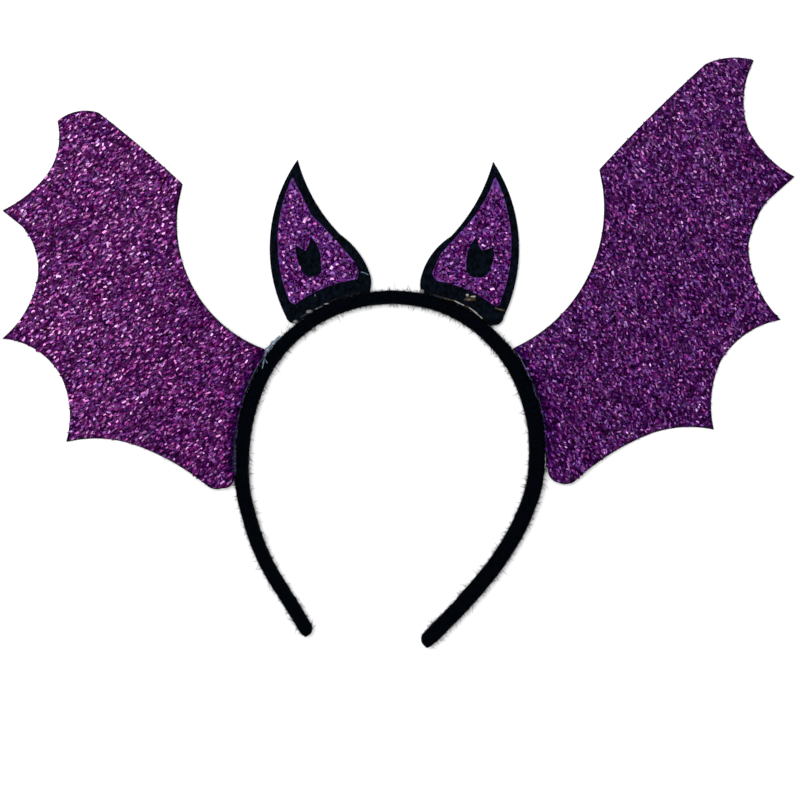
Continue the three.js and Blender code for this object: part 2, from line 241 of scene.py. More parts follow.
# Steps along the outlines, as they are worked out and as the sheets' meshes have them, and how
# many sections the hoop has between its arms' rounded ends
WING_STEP = 0.4
WING_MESH_STEP = 0.9
EAR_STEP = 0.3
EAR_MESH_STEP = 0.5
FOAM_STEP = 0.4
HOOP_STEPS = 480

# A fleck's corners with its lower point, how far that point is sunk, and how far the flecks keep
# from a wing's rim and from its claws, and from the rim and the cut-out of an ear's foam
FLECK_POINTS = 5
FLECK_DEPTH = 0.5
WING_MARGIN = 0.35
CLAW_MARGIN = 2.2
EAR_MARGIN = 0.5
CUT_MARGIN = 0.35

# The stage, in metres, and the camera's sensor in millimetres
FLOOR_HALF = 3.0
KEY_LIGHT_PLACE = (-0.17, 0.12, 1.6)
KEY_LIGHT_SIZE = 0.85
CAMERA_LIFT = 0.0015
SENSOR_WIDTH = 36.0

# How see-through and how glossy each kind of glue is. Its colour is the setting of the same name.
GlueKind = namedtuple("GlueKind", "name clear gloss")
GLUE_KINDS = [
    GlueKind("pale", 0.35, 0.4),
    # painted highlights of the golden and clear glue, drawn as a glue of their own
    GlueKind("white", 0.2, 0.5),
    GlueKind("blue", 0.1, 0.04),
    GlueKind("thin", 0.2, 0.3),
    GlueKind("dim", 0.15, 0.06),
    GlueKind("faint", 0.0, 0.02),
    GlueKind("clear", 0.4, 0.4),
    GlueKind("golden", 0.25, 0.4),
]

# Strings and lumps of glue where the photo shows them. spots are places in the frame, rest is the
# height of the sheet that a string lies on beside the hoop, and flat is how high it is for its width.
String = namedtuple("String", "name kind radius flat rest spots")
STRINGS = [
    String(
        "left_neck_film", "pale", 0.8, 0.25, 6.6,
        [(-49.6, 5.7), (-51.9, 3.6), (-54.0, 1.4), (-55.5, -0.8)],
    ),
    String(
        "left_neck_streak", "pale", 0.3, 0.8, 6.6,
        [(-48.4, 6.5), (-50.7, 4.4), (-52.8, 2.5), (-54.7, 0.5), (-55.5, -1.5), (-55.9, -3.6),
         (-56.3, -5.7), (-56.7, -7.6)],
    ),
    String(
        "left_neck_thread", "pale", 0.2, 0.8, 6.6,
        [(-49.3, 6.7), (-51.9, 4.2), (-54.4, 1.7), (-56.0, -0.8)],
    ),
    String("left_neck_fork", "pale", 0.16, 0.8, 6.6, [(-55.6, -3.0), (-55.0, -4.1), (-54.4, -5.3)]),
    String(
        "left_root_smear", "dim", 0.4, 0.5, 6.4,
        [(-57.8, -4.2), (-59.4, -7.4), (-60.9, -10.3), (-62.6, -14.1), (-64.3, -17.9), (-64.8, -20.4)],
    ),
    String(
        "left_root_film", "blue", 1.0, 0.3, 7.0,
        [(-66.9, -31.5), (-67.8, -38.0), (-68.1, -45.0), (-67.9, -52.0)],
    ),
    String(
        "right_root_thread", "thin", 0.26, 0.8, 7.2,
        [(50.0, -0.5), (51.4, -3.2), (53.9, -8.3), (55.4, -11.9)],
    ),
    String("right_root_end", "thin", 0.2, 0.8, 7.2, [(55.9, -13.5), (57.0, -16.6), (58.2, -20.1)]),
    # painted highlight where the glue by the right wing's root catches the light
    String("right_root_glint", "white", 0.16, 0.9, 7.0, [(61.6, -42.6), (61.7, -45.6), (61.7, -48.4)]),
    String("left_ear_thread", "pale", 0.2, 0.8, 4.9, [(-15.9, 33.3), (-14.0, 32.9), (-12.1, 31.9)]),
    String("left_ear_dab", "clear", 0.22, 0.7, 5.3, [(-34.9, 17.5), (-33.3, 18.1), (-31.4, 19.0)]),
    String("left_ear_trail", "dim", 0.3, 0.7, 5.3, [(-41.0, 14.2), (-39.0, 15.3), (-37.2, 16.1)]),
    String("right_ear_tail", "dim", 0.24, 0.8, 5.3, [(14.4, 23.5), (16.7, 22.9), (19.4, 22.4)]),
    String("right_ear_amber", "golden", 0.36, 0.8, 5.3, [(18.8, 22.5), (21.3, 21.6), (23.6, 21.2)]),
    # painted highlights: lit stretches of the right ear's golden string
    String("right_ear_bright", "white", 0.32, 0.9, 5.3, [(23.4, 21.3), (25.1, 20.4), (27.9, 19.1)]),
    String("right_ear_brown", "golden", 0.36, 0.8, 5.3, [(27.4, 19.2), (28.6, 18.7), (30.0, 18.3)]),
    # painted highlight: a lit stretch of the right ear's string
    String(
        "right_ear_long", "white", 0.3, 0.9, 5.3,
        [(29.4, 18.6), (31.9, 16.8), (33.8, 15.0), (35.8, 13.3)],
    ),
    String("right_ear_stick", "golden", 0.42, 0.8, 5.2, [(40.3, 18.3), (42.6, 17.5), (44.9, 17.0)]),
]
Lump = namedtuple("Lump", "name kind middle size")
LUMPS = [
    Lump("left_root_speck", "pale", (-68.7, -41.8, 6.3), (0.6, 0.9, 0.6)),
    Lump("left_root_dot", "pale", (-69.2, -44.6, 6.3), (0.5, 0.8, 0.5)),
    Lump("left_ear_speck", "pale", (-34.7, 23.4, 5.4), (0.6, 1.0, 0.5)),
    Lump("left_ear_drop", "clear", (-37.0, 16.5, 5.6), (3.0, 1.7, 1.1)),
    Lump("left_ear_bead", "clear", (-29.9, 19.8, 5.4), (2.3, 1.0, 0.8)),
    Lump("left_ear_corner", "clear", (-42.9, 12.3, 5.2), (2.2, 2.0, 1.3)),
    Lump("right_ear_corner", "clear", (9.9, 24.9, 5.2), (2.0, 2.0, 1.6)),
    Lump("right_ear_amber_lump", "golden", (30.4, 21.8, 5.5), (4.9, 2.2, 1.2)),
    # painted highlights on top of the amber lump
    Lump("right_ear_bead", "white", (29.0, 23.5, 6.0), (1.3, 1.2, 1.0)),
    Lump("right_ear_ridge", "white", (31.4, 22.9, 5.9), (2.4, 0.8, 0.9)),
]


# Shapes in the plane


def arc_outline(corners, datum, side, width, height, step):
    """Points of an outline's arcs, from the first corner to the last one.

    Between two corners a distance c apart with bow b, the arc's half angle is h = 2 atan(2b), and
    for a turn t from -h to h a point lies c (1/2 + sin t / (2 sin h)) along the chord and
    c (cos t - cos h) / (2 sin h) to its left. The side mirrors x before the datum is added.
    """
    spots = np.array([(c.out * width, c.up * height) for c in corners])
    parts = []
    for i, corner in enumerate(corners[:-1]):
        start = spots[i]
        chord = spots[i + 1] - start
        length = np.hypot(*chord)
        left = np.array([-chord[1], chord[0]])
        steps = max(2, math.ceil(length / step))
        share = np.arange(steps) / steps
        if corner.bow:
            half = 2 * math.atan(2 * corner.bow)
            turn = half * (2 * share - 1)
            along = 0.5 + np.sin(turn) / (2 * math.sin(half))
            rise = (np.cos(turn) - math.cos(half)) / (2 * math.sin(half))
        else:
            along = share
            rise = np.zeros_like(share)
        parts.append(start + along[:, None] * chord + rise[:, None] * left)
    points = np.vstack(parts + [spots[-1:]])
    return np.asarray(datum) + points * (side, 1)


def closed_outline(corners, datum, side, width, height, step):
    """The outline as a closed loop: the arcs, and the last corner's edge back to the first."""
    return arc_outline([*corners, corners[0]], datum, side, width, height, step)[:-1]


def interpolated(places, known, rows):
    """A row for each place, each column interpolated between its values at the known places."""
    return np.column_stack([np.interp(places, known, column) for column in rows.T])


def distance_along(points):
    """How far along a line each of its points lies."""
    return np.concatenate([[0], np.cumsum(np.hypot(*np.diff(points, axis=0).T))])


def even_loop(loop, step):
    """A closed loop's points moved to even distances along it."""
    points = np.vstack([loop, loop[:1]])
    along = distance_along(points)
    spots = np.linspace(0, along[-1], max(2, round(along[-1] / step)) + 1)
    return interpolated(spots, along, points)[:-1]


def unit(vectors):
    """Each row divided by its own length."""
    return vectors / np.maximum(np.linalg.norm(vectors, axis=1, keepdims=True), 1e-9)


def signed_area(loop):
    """Area inside a closed loop, with a minus where the loop runs clockwise: half the sum of the
    cross products of its neighbouring points."""
    x, y = loop.T
    return 0.5 * np.sum(x * np.roll(y, -1) - np.roll(x, -1) * y)


def loop_normals(outline):
    """Outward unit normals of a closed loop: the tangent from neighbour to neighbour, turned away
    from the inside by the sign of the loop's area."""
    tangent = np.roll(outline, -1, 0) - np.roll(outline, 1, 0)
    normal = np.column_stack([tangent[:, 1], -tangent[:, 0]])
    return np.sign(signed_area(outline)) * unit(normal)


def inside(points, outline):
    """True for points inside a closed loop: a ray towards +X crosses its edges an odd number of
    times."""
    x, y = points[:, :1], points[:, 1:2]
    x1, y1 = outline.T
    x2, y2 = np.roll(outline, -1, 0).T
    spans = (y1 > y) != (y2 > y)
    crossing = x1 + (y - y1) * (x2 - x1) / np.where(y2 == y1, 1e-9, y2 - y1)
    return (spans & (x < crossing)).sum(1) % 2 == 1


def distance_to(points, line):
    """Distance from each point to the nearest of a line's own points."""
    nearest = np.full(len(points), 1e9)
    for part in np.array_split(line, max(1, len(line) // 60)):
        gap = np.hypot(points[:, :1] - part[:, 0], points[:, 1:2] - part[:, 1]).min(1)
        nearest = np.minimum(nearest, gap)
    return nearest


def waves(points, wavelength, seed, count=28):
    """A smooth random field of spread 1: the sum of sines in seeded directions, with seeded phases
    and wavelengths near the one given, over the root of half their number."""
    rng = np.random.default_rng(seed)
    way = unit(rng.normal(size=(count, points.shape[-1])))
    way *= TURN / (wavelength * rng.uniform(0.7, 1.5, (count, 1)))
    return np.sin(points @ way.T + rng.uniform(0, TURN, count)).sum(-1) / math.sqrt(count / 2)


def smooth_step(low, high, value):
    """0 below low, 1 above high, and 3t^2 - 2t^3 between them."""
    share = np.clip((value - low) / (high - low), 0, 1)
    return share * share * (3 - 2 * share)


class MiddleLine:
    """The hoop's middle line: a centripetal Catmull-Rom curve through HOOP_ROWS, placed so that
    its outer outline has the same middle as the frame's hoop."""

    def __init__(self, thickness):
        half_span = (HOOP_SPAN - thickness * HOOP_ROWS[WIDEST_ROW].thick) / 2
        rows = np.array([(r.across * half_span, -r.down * HOOP_DROP) for r in HOOP_ROWS])
        ends = np.vstack([2 * rows[0] - rows[1], rows, 2 * rows[-1] - rows[-2]])
        knots = np.sqrt(np.linalg.norm(np.diff(ends, axis=0), axis=1))
        spots = np.linspace(0, len(rows) - 1, 4001)
        first = np.minimum(spots.astype(int), len(rows) - 2)
        t = (spots - first)[:, None]
        p0, p1, p2, p3 = (ends[first + k] for k in range(4))
        d0, d1, d2 = (knots[first + k][:, None] for k in range(3))
        leave = ((p1 - p0) / d0 - (p2 - p0) / (d0 + d1) + (p2 - p1) / d1) * d1
        arrive = ((p2 - p1) / d1 - (p3 - p1) / (d1 + d2) + (p3 - p2) / d2) * d1
        square = -3 * p1 + 3 * p2 - 2 * leave - arrive
        cube = 2 * p1 - 2 * p2 + leave + arrive
        self.points = p1 + leave * t + square * t**2 + cube * t**3
        steps = np.linalg.norm(np.diff(self.points, axis=0), axis=1)
        travelled = np.concatenate([[0], np.cumsum(steps)])
        self.length = travelled[-1]
        self.places = travelled / self.length
        row_places = np.interp(np.arange(len(rows)), spots, self.places)
        self.thick = thickness * np.interp(self.places, row_places, [r.thick for r in HOOP_ROWS])
        tangent = unit(np.gradient(self.points, axis=0))
        self.outwards = np.column_stack([-tangent[:, 1], tangent[:, 0]])
        low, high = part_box("hoop")
        outer = self.points + self.outwards * self.thick[:, None] / 2
        middle = (np.array([low.x, low.y]) + (high.x, high.y)) / 2 / MM
        top = high.y / MM
        self.points[:, 0] += middle[0] - (outer[:, 0].min() + outer[:, 0].max()) / 2
        self.points[:, 1] += top - outer[:, 1].max()

    def at(self, place):
        return interpolated(place, self.places, self.points)

    def outward(self, place):
        return interpolated(place, self.places, self.outwards)

    def thickness(self, place):
        return np.interp(place, self.places, self.thick)

    def off(self, place, distance):
        """Points that lie off the hoop's outer face by a distance."""
        place = np.atleast_1d(place)
        reach = self.thickness(place) / 2 + distance
        return self.at(place) + self.outward(place) * np.reshape(reach, (-1, 1))

    def nearest(self, points):
        """The place of the middle line's point that is nearest to each point."""
        gaps = np.hypot(points[:, :1] - self.points[:, 0], points[:, 1:2] - self.points[:, 1])
        return self.places[gaps.argmin(1)]

    def clip(self, loop, gap):
        """A closed loop without what lies within a gap of the hoop's outer face, or inside it: the
        kept run of points, closed along the offset face. Returns the loop and its root."""
        places = self.nearest(loop)
        off = np.sum((loop - self.at(places)) * self.outward(places), axis=1)
        keep = off > self.thickness(places) / 2 + gap
        first = np.flatnonzero(keep & ~np.roll(keep, 1))[0]
        loop, keep, places = (np.roll(a, -first, 0) for a in (loop, keep, places))
        last = np.flatnonzero(keep)[-1]
        root = self.off(np.linspace(places[last], places[0], 90), gap)
        return np.vstack([loop[: last + 1], root]), root


# Meshes


def add_piece(name, points, face_sets, material, slot, smooth=True, colours=None):
    """A mesh object from points in millimetres and arrays of faces with equally many corners.
    colours is one for each point, kept as the attribute that fleck_material reads."""
    mesh = bpy.data.meshes.new(name)
    sizes = np.concatenate([np.full(len(faces), faces.shape[1]) for faces in face_sets])
    corners = np.concatenate([faces.ravel() for faces in face_sets]).astype(np.int32)
    mesh.vertices.add(len(points))
    mesh.vertices.foreach_set("co", (np.asarray(points, float) * MM).astype(np.float32).ravel())
    mesh.loops.add(len(corners))
    mesh.loops.foreach_set("vertex_index", corners)
    mesh.polygons.add(len(sizes))
    starts = np.concatenate([[0], np.cumsum(sizes)[:-1]]).astype(np.int32)
    mesh.polygons.foreach_set("loop_start", starts)
    mesh.polygons.foreach_set("use_smooth", np.full(len(sizes), smooth))
    if colours is not None:
        # the colour of each point is the foil's own tone, with painted glints on the bright flecks
        foil = mesh.attributes.new("foil", "FLOAT_COLOR", "POINT")
        opaque = np.ones((len(points), 1))
        foil.data.foreach_set("color", np.hstack([colours, opaque]).astype(np.float32).ravel())
    mesh.update(calc_edges=True)
    mesh.validate()
    mesh.materials.append(material)
    piece = bpy.data.objects.new(name, mesh)
    bpy.context.scene.collection.objects.link(piece)
    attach(piece, "root")
    return piece


def grid_faces(rows, columns, close_rows=False):
    """Quads of a grid of points, rows after rows, whose columns close into rings. The normals
    point outwards where the rows advance and the columns run anticlockwise towards them."""
    last = rows if close_rows else rows - 1
    row = np.arange(last)[:, None]
    column = np.arange(columns)[None, :]
    after = (column + 1) % columns
    above = (row + 1) % rows
    a = row * columns + column
    b = row * columns + after
    c = above * columns + after
    d = above * columns + column
    return np.stack([a, b, c, d], -1).reshape(-1, 4)


def pole_faces(ring, columns, pole, upwards):
    """Triangles from a ring of points, whose first number is given, to a pole."""
    a = ring + np.arange(columns)
    b = ring + (np.arange(columns) + 1) % columns
    tips = np.full(columns, pole)
    return np.column_stack([a, b, tips] if upwards else [b, a, tips])


def closed_grid(rows, columns, turned=False):
    """Faces of a grid whose ends close to two poles, numbered after the grid's own points. turned
    is for a grid whose columns run clockwise."""
    count = rows * columns
    faces = [
        grid_faces(rows, columns),
        pole_faces(0, columns, count, False),
        pole_faces(count - columns, columns, count + 1, True),
    ]
    return [f[:, ::-1] for f in faces] if turned else faces


def sheet_height(plane, share, bottom, thickness, relief):
    """Heights of a sheet's points, whose share runs from -0.5 on the underside to 0.5 on the top.
    The relief is added to the top, and fades out round the rim."""
    height = bottom(plane) + thickness * (share + 0.5)
    if relief is None:
        return height
    return height + relief(plane) * smooth_step(-0.1, 0.5, share)


def sheet_points(outline, hub, bottom, thickness, rounding, rings, relief=None):
    """A closed sheet between its underside and its top, as a function of two parameters.

    One runs round the outline. The other goes from the hub over the underside to the rim, half
    round it, and back over the top: a share r of the way from the hub to the outline, less
    rounding (1 - cos b) at the rim, at height middle + thickness / 2 sin b there. relief is added
    to the top's height. Returns the points and the faces.
    """
    spokes = outline - hub
    reach = np.linalg.norm(spokes, axis=1, keepdims=True)
    inner = (np.arange(1, rings + 1) / rings)[:, None, None] * (1 - rounding / reach)
    rim = 1 - rounding * (1 - np.cos(RIM_ANGLES)) / reach
    under = np.full((rings, len(outline)), -0.5)
    round_rim = np.tile(np.sin(RIM_ANGLES[..., 0]) / 2, len(outline))
    shares = np.concatenate([inner, rim, inner[::-1]])
    heights = np.concatenate([under, round_rim, -under])
    flat = hub + shares * spokes
    plane = np.concatenate([flat.reshape(-1, 2), [hub, hub]])
    share = np.concatenate([heights.ravel(), [-0.5, 0.5]])
    height = sheet_height(plane, share, bottom, thickness, relief)
    faces = closed_grid(len(shares), len(outline), signed_area(outline) < 0)
    return np.column_stack([plane, height]), faces


def ring_sheet_points(outer, inner, bottom, thickness, rounding, steps, relief=None):
    """A closed sheet with a hole, as a function of two parameters.

    One runs round both outlines, matched by their angle about the hole. The other goes round the
    sheet's section: over the underside from the hole to the rim, round the rim, over the top back
    to the hole, and round the hole's wall.
    """
    width = outer - inner
    edge = rounding / np.linalg.norm(width, axis=1, keepdims=True)
    across = edge + np.linspace(0, 1, steps)[:, None, None] * (1 - 2 * edge)
    bulge = edge * (1 - np.cos(RIM_ANGLES))
    shares = np.concatenate([across, 1 - bulge, across[::-1], bulge[::-1]])
    under = np.full((steps, len(outer)), -0.5)
    rim = np.tile(np.sin(RIM_ANGLES[..., 0]) / 2, len(outer))
    share = np.concatenate([under, rim, -under, rim[::-1]]).ravel()
    plane = (inner + shares * width).reshape(-1, 2)
    height = sheet_height(plane, share, bottom, thickness, relief)
    faces = [grid_faces(len(shares), len(outer), close_rows=True)]
    return np.column_stack([plane, height]), faces


def by_angle(outline, centre, angles):
    """Points of a loop seen from a centre at the given angles, by interpolating its distance."""
    spokes = outline - centre
    seen = np.arctan2(spokes[:, 1], spokes[:, 0]) % TURN
    order = np.argsort(seen)
    distance = np.linalg.norm(spokes, axis=1)[order]
    reach = np.interp(angles % TURN, seen[order], distance, period=TURN)
    return centre + reach[:, None] * np.column_stack([np.cos(angles), np.sin(angles)])


def fleck_points(centres, grain, slope, length, width, rng):
    """Flecks as closed chips: a four-sided top and one point sunk FLECK_DEPTH below its middle.

    The top's long side runs along the grain angle, tilted by the two slopes, and each corner is
    moved at random by up to a fifth of the sides, and up or down by up to a tenth of the width.
    Returns the points and the faces.
    """
    count = len(centres)
    along = unit(np.column_stack([np.cos(grain), np.sin(grain), slope[:, 0]]))
    across = np.column_stack([-np.sin(grain), np.cos(grain), slope[:, 1]])
    across = unit(across - along * np.sum(along * across, axis=1, keepdims=True))
    up = np.cross(along, across)
    x = np.array([-0.5, 0.5, 0.5, -0.5]) + rng.uniform(-0.2, 0.2, (count, 4))
    y = np.array([-0.5, -0.5, 0.5, 0.5]) + rng.uniform(-0.2, 0.2, (count, 4))
    z = rng.uniform(-0.1, 0.1, (count, 4))
    top = (
        centres[:, None]
        + (x * length[:, None])[..., None] * along[:, None]
        + (y * width[:, None])[..., None] * across[:, None]
        + (z * width[:, None])[..., None] * up[:, None]
    )
    tip = (centres - up * FLECK_DEPTH)[:, None]
    points = np.concatenate([top, tip], 1).reshape(-1, 3)
    first = FLECK_POINTS * np.arange(count)[:, None, None]
    sides = np.array([[1, 0, 4], [2, 1, 4], [3, 2, 4], [0, 3, 4]])
    faces = [(first[:, 0] + np.array([0, 1, 2, 3])), (first + sides).reshape(-1, 3)]
    return points, faces


def hair_star(ways, rng):
    """Unit ways, a random unit side at right angles to each, and three spokes round each way."""
    ways = unit(ways)
    side = unit(np.cross(ways, rng.normal(size=ways.shape)))
    other = np.cross(ways, side)
    corner = np.arange(3) * TURN / 3
    star = np.cos(corner)[:, None] * side[:, None] + np.sin(corner)[:, None] * other[:, None]
    return ways, side, star


def spike_points(roots, ways, lengths, width, rng):
    """Short hairs as closed three-sided spikes: a triangle at the root, and the tip."""
    ways, _, star = hair_star(ways, rng)
    tip = roots + ways * np.reshape(lengths, (-1, 1))
    points = np.concatenate([roots[:, None] + star * width / 2, tip[:, None]], 1).reshape(-1, 3)
    points[:, 2] = np.abs(points[:, 2])
    first = 4 * np.arange(len(roots))[:, None, None]
    sides = np.array([[0, 1, 3], [1, 2, 3], [2, 0, 3], [2, 1, 0]])
    return points, [(first + sides).reshape(-1, 3)]


def hair_points(roots, ways, lengths, width, bend, rng):
    """Long hairs as closed three-sided spikes with a knee: a triangle at the root, a smaller one
    halfway, and the tip, moved sideways by bend times the length."""
    count = len(roots)
    ways, side, star = hair_star(ways, rng)
    length = np.reshape(lengths, (-1, 1))
    knee = roots + ways * length * 0.55 + side * length * bend * 0.25
    tip = roots + ways * length * 0.95 + side * length * bend
    radii = np.array([0.5, 0.35])[:, None, None] * width
    rings = np.stack([roots, knee], 1)[:, :, None] + star[:, None] * radii
    points = np.concatenate([rings.reshape(count, 6, 3), tip[:, None]], 1).reshape(-1, 3)
    points[:, 2] = np.abs(points[:, 2])
    first = 7 * np.arange(count)[:, None, None]
    quads = np.array([[0, 1, 4, 3], [1, 2, 5, 4], [2, 0, 3, 5]])
    tips = np.array([[3, 4, 6], [4, 5, 6], [5, 3, 6], [2, 1, 0]])
    return points, [(first + quads).reshape(-1, 4), (first + tips).reshape(-1, 3)]


def tube_points(path, radius, sides=8, squash=1.0):
    """A closed tube: a ring of points at right angles to the path at each of its points, as far
    from it as radius says there, with a pole at each end."""
    way = unit(np.gradient(path, axis=0))
    side = unit(np.cross(way, (0, 0, 1)))
    up = np.cross(side, way)
    angle = np.arange(sides) * TURN / sides
    ring = np.cos(angle)[:, None] * side[:, None] + squash * np.sin(angle)[:, None] * up[:, None]
    points = path[:, None] + ring * np.reshape(radius, (-1, 1, 1))
    points = np.vstack([points.reshape(-1, 3), path[:1], path[-1:]])
    return points, closed_grid(len(path), sides, turned=True)


def blob_points(centre, size, seed, rows=12, columns=20):
    """A lump of glue: an ellipsoid whose radius swells and shrinks by a seventh with a random
    field over its surface."""
    slant = np.linspace(0, math.pi, rows + 2)[1:-1, None]
    turn = (np.arange(columns) * TURN / columns)[None, :]
    up = -np.cos(slant) * np.ones_like(turn)
    ball = np.stack([np.sin(slant) * np.cos(turn), np.sin(slant) * np.sin(turn), up], -1)
    ball = np.vstack([ball.reshape(-1, 3), [[0, 0, -1], [0, 0, 1]]])
    ball *= 1 + 0.14 * waves(ball, 1.6, seed)[:, None]
    return np.asarray(centre) + ball * np.asarray(size) / 2, closed_grid(rows, columns)


# Materials


def new_material(name):
    material = bpy.data.materials.new(name)
    material.use_nodes = True
    tree = material.node_tree
    tree.nodes.clear()
    output = tree.nodes.new("ShaderNodeOutputMaterial")
    shader = tree.nodes.new("ShaderNodeBsdfPrincipled")
    tree.links.new(shader.outputs["BSDF"], output.inputs["Surface"])
    return material, tree, shader


def object_noise(tree, scale, detail=4.0, stretch=(1, 1, 1), rough=0.5):
    """A noise texture on Object coordinates, stretched by a Mapping node."""
    coordinates = tree.nodes.new("ShaderNodeTexCoord")
    mapping = tree.nodes.new("ShaderNodeMapping")
    mapping.inputs["Scale"].default_value = stretch
    noise = tree.nodes.new("ShaderNodeTexNoise")
    noise.inputs["Scale"].default_value = scale
    noise.inputs["Detail"].default_value = detail
    noise.inputs["Roughness"].default_value = rough
    tree.links.new(coordinates.outputs["Object"], mapping.inputs["Vector"])
    tree.links.new(mapping.outputs["Vector"], noise.inputs["Vector"])
    return noise.outputs["Fac"]


def colour_ramp(tree, factor, stops):
    """A ColorRamp node with (position, colour) stops, driven by a socket."""
    ramp = tree.nodes.new("ShaderNodeValToRGB")
    elements = ramp.color_ramp.elements
    elements[0].position, elements[1].position = stops[0][0], stops[-1][0]
    elements[0].color, elements[1].color = (*stops[0][1], 1), (*stops[-1][1], 1)
    for position, colour in stops[1:-1]:
        elements.new(position).color = (*colour, 1)
    tree.links.new(factor, ramp.inputs["Fac"])
    return ramp.outputs["Color"]


def add_bump(tree, shader, height, strength, distance):
    bump = tree.nodes.new("ShaderNodeBump")
    bump.inputs["Strength"].default_value = strength
    bump.inputs["Distance"].default_value = distance
    tree.links.new(height, bump.inputs["Height"])
    tree.links.new(bump.outputs["Normal"], shader.inputs["Normal"])


def cloth_material(name, colour, lighter, scale, bump, level, stretch=(1, 1, 1)):
    """Black cloth: noise between the colour and a lighter one, and a fibrous bump."""
    material, tree, shader = new_material(name)
    fibre = object_noise(tree, scale, detail=8.0, stretch=stretch, rough=0.72)
    raised = tuple(c * lighter for c in colour)
    base = colour_ramp(tree, fibre, [(0.42, tuple(colour)), (0.62, raised)])
    tree.links.new(base, shader.inputs["Base Color"])
    shader.inputs["Roughness"].default_value = 1.0
    shader.inputs["Specular IOR Level"].default_value = level
    add_bump(tree, shader, object_noise(tree, scale * 1.7, detail=5.0), bump, distance=0.0004)
    return material


def glitter_ground_material(name, dark, light, scale, metallic):
    """The sheet between the flecks: grains of two colours over a coarse bump."""
    material, tree, shader = new_material(name)
    grain = object_noise(tree, scale, detail=3.0)
    base = colour_ramp(tree, grain, [(0.35, tuple(dark)), (0.65, tuple(light))])
    tree.links.new(base, shader.inputs["Base Color"])
    shader.inputs["Metallic"].default_value = metallic
    shader.inputs["Roughness"].default_value = 0.5
    shader.inputs["Specular IOR Level"].default_value = 0.01
    bumps = object_noise(tree, scale * 1.3, detail=2.0)
    add_bump(tree, shader, bumps, strength=0.6, distance=0.0004)
    return material


def fleck_material(name, metallic, roughness):
    """Flecks of foil, each in its own colour: the foil's tone, with painted glints on the bright ones.
    """
    material, tree, shader = new_material(name)
    foil = tree.nodes.new("ShaderNodeAttribute")
    foil.attribute_name = "foil"
    tree.links.new(foil.outputs["Color"], shader.inputs["Base Color"])
    shader.inputs["Metallic"].default_value = metallic
    shader.inputs["Roughness"].default_value = roughness
    shader.inputs["Specular IOR Level"].default_value = 0.0
    return material


def glue_material(name, colour, clear, gloss):
    """Set hot-melt glue: milky and see-through, glossy, with a soft uneven skin."""
    material, tree, shader = new_material(name)
    cloud = object_noise(tree, scale=900, detail=3.0)
    thin = tuple(c * 0.6 for c in colour)
    base = colour_ramp(tree, cloud, [(0.3, thin), (0.7, tuple(colour))])
    tree.links.new(base, shader.inputs["Base Color"])
    shader.inputs["Roughness"].default_value = 0.3
    shader.inputs["IOR"].default_value = 1.48
    shader.inputs["Specular IOR Level"].default_value = gloss
    shader.inputs["Transmission Weight"].default_value = clear
    skin = object_noise(tree, scale=700, detail=2.0)
    add_bump(tree, shader, skin, strength=0.35, distance=0.0003)
    return material


# Settings


def length(name, description, millimetres):
    return FloatProperty(
        name=name, description=description, default=millimetres * MM, min=0.0, unit="LENGTH"
    )


def colour(name, description, value):
    return FloatVectorProperty(
        name=name, description=description, default=value, size=3, min=0.0, max=1.0, subtype="COLOR"
    )


class HoopSettings(PropertyGroup):
    """Sizes and colours of the velvet hoop."""

    thickness: length("Thickness", "From the head outwards, at the crown", 5.3)
    edge_flat: length("Edge flat", "Flat strip along the rear and front edges", 2.4)
    corner: length("Corner", "How far the rounded corners reach along the width", 2.6)
    pile: length("Pile", "Mean length of the velvet's pile", 0.5)
    pile_count: IntProperty(name="Pile hairs", description="Short hairs on the velvet", default=32000)
    wisp: length("Wisp", "Mean length of the loose hairs that stand out", 1.8)
    wisp_count: IntProperty(name="Wisps", description="Loose hairs on the velvet", default=3200)
    tint: colour("Velvet", "Colour of the velvet", (0.0002, 0.0005, 0.0011))


class WingSettings(PropertyGroup):
    """Sizes and colours of the wings."""

    felt: length("Felt", "Thickness of the black felt", 1.6)
    sheet: length("Sheet", "Thickness of the glitter sheet", 1.1)
    rim: length("Rim", "Felt that shows round the glitter sheet", 0.45)
    fleck_length: length("Fleck length", "Mean length of a fleck", 1.35)
    fleck_width: length("Fleck width", "Mean width of a fleck", 0.61)
    pitch_along: length("Pitch along", "From fleck to fleck along the grain", 1.04)
    pitch_across: length("Pitch across", "From fleck to fleck across the grain", 0.64)
    ground_dark: colour("Ground, dark", "Darker colour between the flecks", (0.006, 0.0, 0.010))
    ground_light: colour("Ground, light", "Lighter colour between the flecks", (0.03, 0.002, 0.055))
    felt_tint: colour("Felt colour", "Colour of the felt", (0.0003, 0.0006, 0.0013))


class EarSettings(PropertyGroup):
    """Sizes and colours of the ears."""

    felt: length("Felt", "Thickness of the black felt", 1.6)
    sheet: length("Sheet", "Thickness of the glitter foam", 1.4)
    fleck_length: length("Fleck length", "Mean length of a fleck", 1.05)
    fleck_width: length("Fleck width", "Mean width of a fleck", 0.7)
    pitch: length("Pitch", "From fleck to fleck", 0.8)
    foam_dark: colour("Foam, dark", "Darker colour of the foam", (0.034, 0.008, 0.066))
    foam_light: colour("Foam, light", "Lighter colour of the foam", (0.165, 0.058, 0.29))
    felt_tint: colour("Felt colour", "Colour of the felt", (0.0003, 0.0006, 0.0012))


